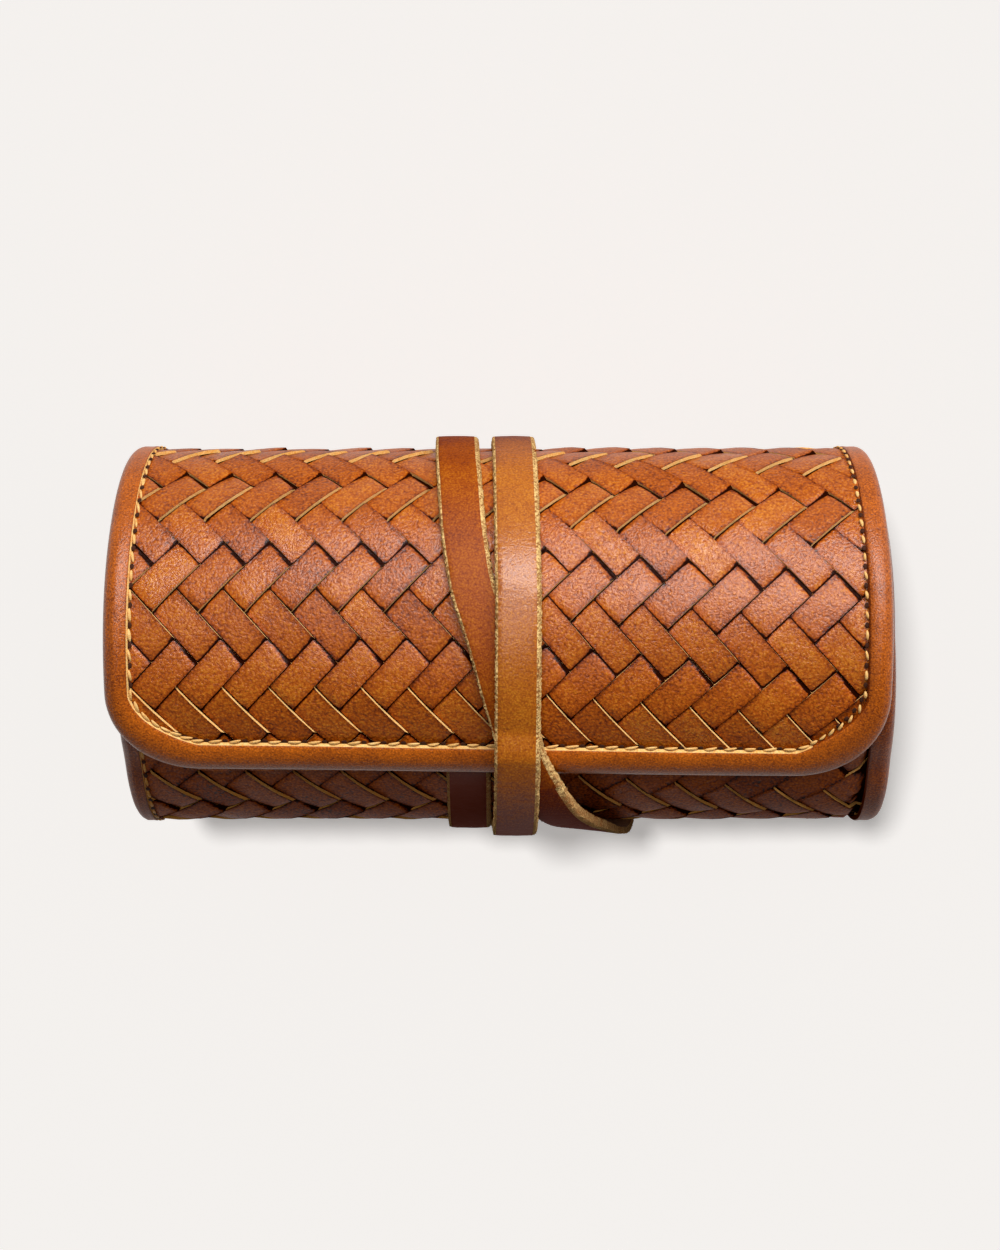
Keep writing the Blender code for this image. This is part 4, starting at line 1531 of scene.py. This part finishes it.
@dataclass
class TieStrap:
    """The flat thong that winds twice round the roll and ends in a tail tucked under itself.

    Angles are roll angles, 0 at the top and positive to the front. The shares give a strand's
    middle along X at an angle, in strap widths. A crossing gives the angles between which a
    strand climbs over another and comes down again.
    """

    width: float = 11.0 * MM
    fluff: float = 0.5 * MM
    thickness: float = 3.0 * MM
    gap: float = 0.3 * MM
    press: float = 0.9 * MM
    press_run: tuple = (66.0, 86.0, 128.0, 148.0)
    edge_climb: float = 2.6 * MM
    fray: float = 0.32 * MM
    face_fray: float = 0.15
    side_fray: float = 0.7
    # A raw edge's slope: how far out it has come at each share of the thickness.
    edge_slope: tuple = ((0.0, 1.0), (0.48, 0.95), (0.82, 0.84), (0.97, 0.56), (1.0, 0.2), (0.97, 0.03))
    crown: float = 0.22 * MM
    tail_curl: float = 3.0 * MM
    curl_start: float = 55.0
    step: float = 0.45
    seed: int = 5
    start_angle: float = 20.0
    opening_angle: float = 150.0
    opening_gap: float = 0.2
    back_part: float = 205.0
    hinge_angle: float = 260.0
    top_part: float = -65.0
    drop_part: float = 10.0
    tail_part: float = 44.0
    tail_end_angle: float = 110.0
    main_shares: tuple = (
        (-100.0, 0.32), (-60.0, 0.38), (-10.0, 0.45), (45.0, 0.42),
        (95.0, 0.32), (150.0, 0.38), (180.0, 0.41), (194.0, 0.41),
    )
    left_shares: tuple = (
        (-100.0, -1.16), (-60.0, -1.07), (-30.0, -0.90), (-13.0, -0.68), (0.0, -0.28),
        (15.0, 0.07), (36.0, 0.60), (43.0, 0.88), (51.0, 1.20), (60.0, 1.55),
        (69.0, 1.98), (78.0, 2.38), (92.0, 2.82), (110.0, 3.15),
    )
    start_shares: tuple = ((20.0, -0.79), (100.0, -0.79), (150.0, -0.93), (180.0, -0.955), (194.0, -0.955))
    edge_crossing: tuple = (24.0, 33.0, 52.0, 78.0)
    front_crossing: tuple = (-46.0, -9.0, 63.0, 79.0)
    back_crossing: tuple = (201.0, 209.0, 245.0, 257.0)
    back_run: tuple = (198.0, 258.0)
    # Half the width and length of the box of stitches on the strap's first end, and the thread.
    anchor_reach: tuple = (3.9 * MM, 4.5 * MM)
    anchor_inset: float = 6.1 * MM
    anchor_thread: float = 0.5 * MM

    def __post_init__(self) -> None:
        """Starts the frayed edges' own chance."""
        self.chance = np.random.RandomState(self.seed)

    def climbed(self, angle: Array, crossing: Sequence[float]) -> Array:
        """Gives the share of a climb that a strand has made at each roll angle."""
        climb, up, down, landed = crossing
        return smooth_share(angle, climb, up) - smooth_share(angle, down, landed)

    def middle(self, angle: Array, shares: Sequence[tuple[float, float]]) -> Array:
        """Gives a strand's middle along X, smoothed between its listed places."""
        return self.width * OUTLINE.smoothed(angle, shares, 7)

    def main_middle(self, angle: Array) -> Array:
        """Gives the main strand's middle over the flap and down the front."""
        return self.middle(angle, self.main_shares)

    def left_middle(self, angle: Array) -> Array:
        """Gives the middle of the left strand and of the tail that it ends in."""
        return self.middle(angle, self.left_shares)

    def behind(
        self, angle: Array, below: Sequence[tuple[float, float]], above: Sequence[tuple[float, float]]
    ) -> Array:
        """Gives the middle of a strand that crosses another at the back, and goes on over the flap.

        Args:
            angle: The roll angles.
            below: The strand's shares under the roll.
            above: The strand's shares over the flap.

        Returns:
            The places of its middle along X.
        """
        crossed = smooth_share(angle, *self.back_run)
        low = self.middle(np.minimum(angle, self.back_run[0]), below)
        high = self.middle(np.maximum(angle - FULL_TURN, self.hinge_angle - FULL_TURN), above)
        return low + (high - low) * crossed

    def first_middle(self, angle: Array) -> Array:
        """Gives the middle of the strap's first turn, which becomes the main strand."""
        return self.behind(angle, self.start_shares, self.main_shares)

    def second_middle(self, angle: Array) -> Array:
        """Gives the middle of the strap's second turn, which becomes the left strand."""
        return self.behind(angle, self.main_shares, self.left_shares)

    def body_radius(self, angle: Array) -> Array:
        """Gives the radius of the roll's body under its flap."""
        return OUTLINE.radius_at(OUTLINE.flap_edge_angle - angle + FULL_TURN)

    def seat(self, angle: Array) -> Array:
        """Gives the radius that a tight strand lies on, with the roll's flat underside under it.

        Args:
            angle: The roll angles.

        Returns:
            The radius of the strand's underside.
        """
        turned = np.where(angle > 225.0, angle - FULL_TURN, angle)
        body = np.maximum(OUTLINE.radius, self.body_radius(turned))
        front = (turned > OUTLINE.flap_edge_angle) & (turned < 180.0)
        climb = self.edge_climb * self.climbed(turned, self.edge_crossing)
        radius = np.where(front, body, OUTLINE.radius) + climb
        downward = np.maximum(-np.cos(np.radians(turned)), OUTLINE.steepest_floor)
        floor = OUTLINE.flat_depth / downward
        return np.where(radius > floor, floor + self.gap / downward, radius + self.gap)

    def tucked_seat(self, angle: Array) -> Array:
        """Gives the radius of the first turn, which starts against the body under the flap."""
        return np.where(angle < 90.0, self.body_radius(angle) + self.gap, self.seat(angle))

    def section(self, left: float, right: float) -> tuple[Array, Array, Array]:
        """Gives the strap's closed cross-section, whose raw edges slope out under its face.

        Args:
            left: How far the left raw edge slopes out.
            right: How far the right raw edge slopes out.

        Returns:
            How far across each point lies, from -1 to 1, how far through the thickness, from 0 to
            1, and which finish the face after it takes: 0 the grain side, 1 a raw edge, 2 the flesh.
        """
        half = self.width / 2 + self.fluff
        low, high = -1 + left / half, 1 - right / half
        top = [(a, 1.0) for a in np.linspace(low, high, 8)]
        rising = [(high + (1 - high) * out, through) for out, through in self.edge_slope[1:]]
        under = [(a, 0.0) for a in np.linspace(0.93, -0.93, 6)]
        falling = [(low - (1 + low) * out, through) for out, through in self.edge_slope[:0:-1]]
        points = np.array(top + rising + under + falling)
        kinds = np.array([0] * 7 + [1] * 6 + [2] * 5 + [1] * 6)
        return points[:, 0], points[:, 1], kinds

    def strand(
        self, name: str, start: float, end: float, middle: Callable[[Array], Array],
        seat: Callable[[Array], Array], lift: Callable[[Array], Array], rides: Body | Fold, node: str,
        tone: float = 0.0, bevels: tuple[float, float] = (0.6 * MM, 1.15 * MM), cut: bool = False,
        curl: Optional[Callable[[Array], Array]] = None, hide: Leather = STRAP_HIDE,
    ) -> None:
        """Lays a length of strap between two roll angles.

        Args:
            name: The piece's name.
            start: The roll angle where it starts.
            end: The roll angle where it ends.
            middle: Gives its middle along X at each angle.
            seat: Gives the radius that it lies on.
            lift: Gives how far it is lifted over another strand.
            rides: What it rides on.
            node: The CAD length that it stands for.
            tone: How much lighter its dye is than the strap's middle tone.
            bevels: How far its left and right raw edges slope out.
            cut: Whether it has one of the strap's own cut ends.
            curl: Gives how far its right edge is lifted at each angle, or nothing for a flat strand.
            hide: The finish of its grain side.
        """
        angle = np.linspace(start, end, round((end - start) / self.step) + 1)
        across, through, kinds = self.section(*bevels)
        inner = seat(angle) + lift(angle)
        outer = inner + self.thickness - self.press * self.climbed(angle, self.press_run)
        flat = OUTLINE.axis_height / np.maximum(-np.cos(np.radians(angle)), OUTLINE.steepest_floor)
        outer = np.where((lift(angle) < WELD) & (outer > flat), flat, outer)
        rise = (middle(angle + 1.0) - middle(angle - 1.0)) / 2
        run = math.radians(1.0) * OUTLINE.radius
        half = (self.width / 2 + self.fluff) * np.hypot(rise, run) / run
        x = middle(angle)[:, None] + half[:, None] * across[None, :]
        radius = inner[:, None] + (outer - inner)[:, None] * through[None, :]
        face = through > 0.99
        radius = radius + self.crown * (1 - across**2) * face
        raw = (np.abs(across) > 0.8) & ~face & (through > 0.0)
        x = x + self.rough(angle, len(across)) * raw
        radius = radius + self.rough(angle, len(across)) * self.side_fray * raw * (through > 0.3)
        radius = radius + self.rough(angle, len(across)) * self.face_fray * face
        if curl is not None:
            radius = radius + curl(angle)[:, None] * ((across[None, :] + 1) / 2) ** 1.5
        rings = OUTLINE.on_roll(x, angle[:, None] + 0 * x, radius)
        rings[..., 2] = np.maximum(rings[..., 2], 0.0)
        order = np.arange(len(across))[::-1]
        piece = Bench.lay_loop(
            name, rings[:, order], np.roll(kinds[::-1], -1), (hide, FRAYED_EDGE, FLESH_SIDE),
            edge=np.abs(across)[order] ** 2, tone=np.array(tone),
        )
        Bench.close_ends(piece, 1 if cut else 0)
        Bench.finish(piece, Slot.STRAP, rides, (node,), 50.0)

    def rough(self, angle: Array, columns: int) -> Array:
        """Gives the raw edges' fray, a little different at each point."""
        return self.chance.uniform(-1.0, 1.0, (len(angle), columns)) * self.fray

    def build(self) -> None:
        """Lays both turns of the strap and its tail, parted where the flap and the strap turn."""
        climb = self.thickness + self.gap
        over = self.top_part + FULL_TURN

        def low(angle: Array) -> Array:
            """Lifts nothing."""
            return 0.0 * angle

        def front(angle: Array) -> Array:
            """Lifts the main strand over the left strand on the flap."""
            return climb * self.climbed(angle, self.front_crossing)

        def back(angle: Array) -> Array:
            """Lifts the second turn over the first behind the roll."""
            return climb * self.climbed(angle, self.back_crossing)

        def curl(angle: Array) -> Array:
            """Lifts the tail's right edge towards its tip."""
            return self.tail_curl * smooth_share(angle, self.curl_start, self.tail_end_angle)

        self.strand(
            "strap_first_turn", self.start_angle, self.back_part, self.first_middle, self.tucked_seat, low,
            Body.ROLL, "strap_start", tone=-0.12, cut=True,
        )
        self.strand(
            "strap_first_back", self.back_part, over, self.first_middle, self.seat, low, HINGE_FOLD,
            "strap_main_rear",
        )
        self.strand(
            "strap_main_top", self.top_part, self.drop_part, self.main_middle, self.seat, front, UNROLL_FOLD,
            "strap_main_front",
        )
        self.strand(
            "strap_main_drop_front", self.drop_part, self.opening_angle - self.opening_gap, self.main_middle,
            self.seat, front, DROP_FOLD, "strap_main_drop",
        )
        self.strand(
            "strap_second_turn", self.opening_angle + self.opening_gap, self.back_part, self.second_middle,
            self.seat, back, Body.ROLL, "strap_under_turn", tone=-0.1,
        )
        self.strand(
            "strap_second_back", self.back_part, over, self.second_middle, self.seat, back, HINGE_FOLD,
            "strap_left_rear", hide=DULL_STRAP_HIDE,
        )
        self.strand(
            "strap_left_top", self.top_part, self.tail_part, self.left_middle, self.seat, low, UNROLL_FOLD,
            "strap_left_front", hide=DULL_STRAP_HIDE,
        )
        self.strand(
            "strap_tail_end", self.tail_part, self.tail_end_angle, self.left_middle, self.seat, low,
            TAIL_FOLD, "strap_tail", tone=-0.15, bevels=(0.5 * MM, 1.6 * MM), cut=True, curl=curl,
            hide=DULL_STRAP_HIDE,
        )
        self.anchor()

    def anchor(self) -> None:
        """Sews the strap's first end to the panel with a box of stitches, hidden under the flap."""
        half_across, half_along = self.anchor_reach
        thread = self.anchor_thread
        centre = self.start_angle + math.degrees(self.anchor_inset / OUTLINE.radius)
        middle = float(self.middle(np.array([self.start_angle]), self.start_shares)[0])
        seat = float(self.tucked_seat(np.array([centre]))[0]) + self.thickness + self.gap + thread / 2
        bead, shape = Bench.bead()
        places = []
        for reach, other, across_way in ((half_across, half_along, True), (half_along, half_across, False)):
            length = 2 * reach / 3
            for place in (-length, 0.0, length):
                for side in (-other, other):
                    along = place + shape[:, 0] * length * 0.46
                    aside = side + shape[:, 1] * thread / 2
                    x, arc = (along, aside) if across_way else (aside, along)
                    angle = centre + np.degrees(arc / OUTLINE.radius)
                    points = OUTLINE.on_roll(middle + x, angle, seat + shape[:, 2] * thread / 2)
                    places.append((f"anchor_stitch_{len(places)}", points, WAXED_THREAD))
        sewn = Bench.beads_joined(bead, places, "anchor_seam")
        Bench.finish(sewn, Slot.THREAD, Body.ROLL, ("anchor_stitching",))


@dataclass
class Studio:
    """The pale floor and backdrop, the soft lamps and the camera straight above the roll."""

    floor_colour: str = "#F5F2EF"
    bounce_colour: str = "#5E5A56"
    floor_size: float = 12.0
    floor_glow: float = 0.42
    floor_matte: float = 0.92
    world_light: float = 0.05
    gloss_backdrop: float = 0.40
    seen_backdrop: float = 0.88
    sun_spread: float = 8.5
    camera_y: float = 2.6 * MM
    camera_above_axis: float = 594.0 * MM
    focal_px: float = 2028.0
    long_side_px: float = 1250.0
    sensor: float = 36.0

    def build(self) -> None:
        """Sets the floor, the lamps, the backdrop and the camera."""
        self.floor()
        self.lamps()
        self.backdrop()
        self.camera()
        bpy.context.scene.view_settings.view_transform = "Standard"

    def seen(self, tree: Tree) -> Socket:
        """Tells the rays that show the background: the camera's, and those in gloss and glass.

        Args:
            tree: The node tree of a material or of the world.

        Returns:
            1 for such a ray, or else 0.
        """
        some = add_node(tree, "LightPath", output="Is Camera Ray")
        for name in ("Is Glossy Ray", "Is Transmission Ray"):
            ray = add_node(tree, "LightPath", output=name)
            some = add_node(tree, "Math", {"operation": "MAXIMUM"}, in_0=some, in_1=ray)
        return some

    def floor(self) -> None:
        """Lays the pale floor under the roll, brighter to the camera than to the roll."""
        Bench.clear_selection()
        bpy.ops.mesh.primitive_plane_add(size=self.floor_size)
        floor = bpy.context.active_object
        floor.name = "studio_floor"
        finish, tree = blank_finish("matte_paper")
        pale = linear(self.floor_colour)
        paper = tuple(c * self.floor_matte for c in pale[:3]) + (1.0,)
        glow = add_node(tree, "Emission", Color=pale, Strength=self.floor_glow)
        matte = add_node(tree, "BsdfDiffuse", Color=paper)
        both = add_node(tree, "AddShader", in_0=glow, in_1=matte)
        bounce = add_node(tree, "BsdfDiffuse", Color=linear(self.bounce_colour))
        mixed = add_node(tree, "MixShader", in_0=self.seen(tree), in_1=bounce, in_2=both)
        add_node(tree, "OutputMaterial", Surface=mixed)
        floor.data.materials.append(finish)

    def lamps(self) -> None:
        """Hangs a soft box behind, a weak lamp overhead, one on the right and the floor's own sun."""
        soft_box = self.box("soft_box", size=(0.86, 0.55), watts=15.8)
        overhead = self.box("overhead", size=(0.30, 0.30), watts=2.2)
        floor_lamp = self.sun("floor_lamp", strength=1.86)
        right_strip = self.box("right_strip", size=(0.36, 0.50), watts=4.6)
        self.hang(soft_box, place=(0.14, 0.82, 1.02), on_floor=False)
        self.hang(overhead, place=(-0.12, 0.13, 1.30), on_floor=False)
        self.hang(floor_lamp, place=(-0.25, 0.205, 1.20), on_floor=True)
        self.hang(right_strip, place=(0.80, 0.52, 0.72), on_floor=False)

    def box(self, name: str, size: tuple[float, float], watts: float) -> bpy.types.Light:
        """Makes an oblong soft lamp.

        Args:
            name: The lamp's name.
            size: Its width and height.
            watts: Its power.

        Returns:
            The lamp, not yet hung.
        """
        lamp = bpy.data.lights.new(name, "AREA")
        lamp.shape = "RECTANGLE"
        lamp.size, lamp.size_y = size
        lamp.energy = watts
        return lamp

    def sun(self, name: str, strength: float) -> bpy.types.Light:
        """Makes a lamp that is far off, so that its shadow is as soft everywhere.

        Args:
            name: The lamp's name.
            strength: Its strength.

        Returns:
            The lamp, not yet hung.
        """
        lamp = bpy.data.lights.new(name, "SUN")
        lamp.angle = math.radians(self.sun_spread)
        lamp.energy = strength
        return lamp

    def hang(self, lamp: bpy.types.Light, place: Sequence[float], on_floor: bool) -> None:
        """Hangs a lamp, turned to the roll, whose light falls on the floor alone or on all but the floor.

        Args:
            lamp: The lamp.
            place: Where it hangs.
            on_floor: Whether its light falls on the floor alone, where the roll still casts a shadow.
        """
        hung = bpy.data.objects.new(lamp.name, lamp)
        hung.location = place
        aim = np.array((0.0, 0.0, OUTLINE.axis_height)) - np.array(place)
        flat = math.hypot(aim[0], aim[1])
        hung.rotation_euler = (math.atan2(flat, -aim[2]), 0.0, math.atan2(aim[1], aim[0]) - math.pi / 2)
        bpy.context.scene.collection.objects.link(hung)
        linked = bpy.data.collections.new(f"{lamp.name}_receivers")
        linked.objects.link(bpy.data.objects["studio_floor"])
        linked.collection_objects[0].light_linking.link_state = "INCLUDE" if on_floor else "EXCLUDE"
        hung.light_linking.receiver_collection = linked

    def backdrop(self) -> None:
        """Sets the pale backdrop, paler to the camera than in gloss, and the little light it gives."""
        world = bpy.data.worlds.new("studio")
        bpy.context.scene.world = world
        world.use_nodes = True
        tree = world.node_tree
        tree.nodes.clear()
        dim = add_node(tree, "Background", Color=linear("#FFFFFF"), Strength=self.world_light)
        from_camera = add_node(tree, "LightPath", output="Is Camera Ray")
        strength = layered(tree, self.gloss_backdrop, (from_camera, self.seen_backdrop - self.gloss_backdrop))
        pale = add_node(tree, "Background", Color=linear(self.floor_colour), Strength=strength)
        mixed = add_node(tree, "MixShader", in_0=self.seen(tree), in_1=dim, in_2=pale)
        add_node(tree, "OutputWorld", Surface=mixed)

    def camera(self) -> None:
        """Hangs the camera over the roll, looking straight down with the back at the top."""
        data = bpy.data.cameras.new("camera")
        data.sensor_width = self.sensor
        data.lens = self.focal_px / self.long_side_px * self.sensor
        data.clip_end = 10.0
        camera = bpy.data.objects.new("camera", data)
        camera.location = (0.0, self.camera_y, OUTLINE.axis_height + self.camera_above_axis)
        bpy.context.scene.collection.objects.link(camera)
        bpy.context.scene.camera = camera


def main() -> None:
    """Builds every sub-assembly in order."""
    logging.basicConfig(level=logging.INFO, format="%(message)s")
    Studio().build()
    WovenPanel().build()
    InnerSheets().build()
    EdgeBinding().build()
    TieStrap().build()


if __name__ == "__main__":
    main()
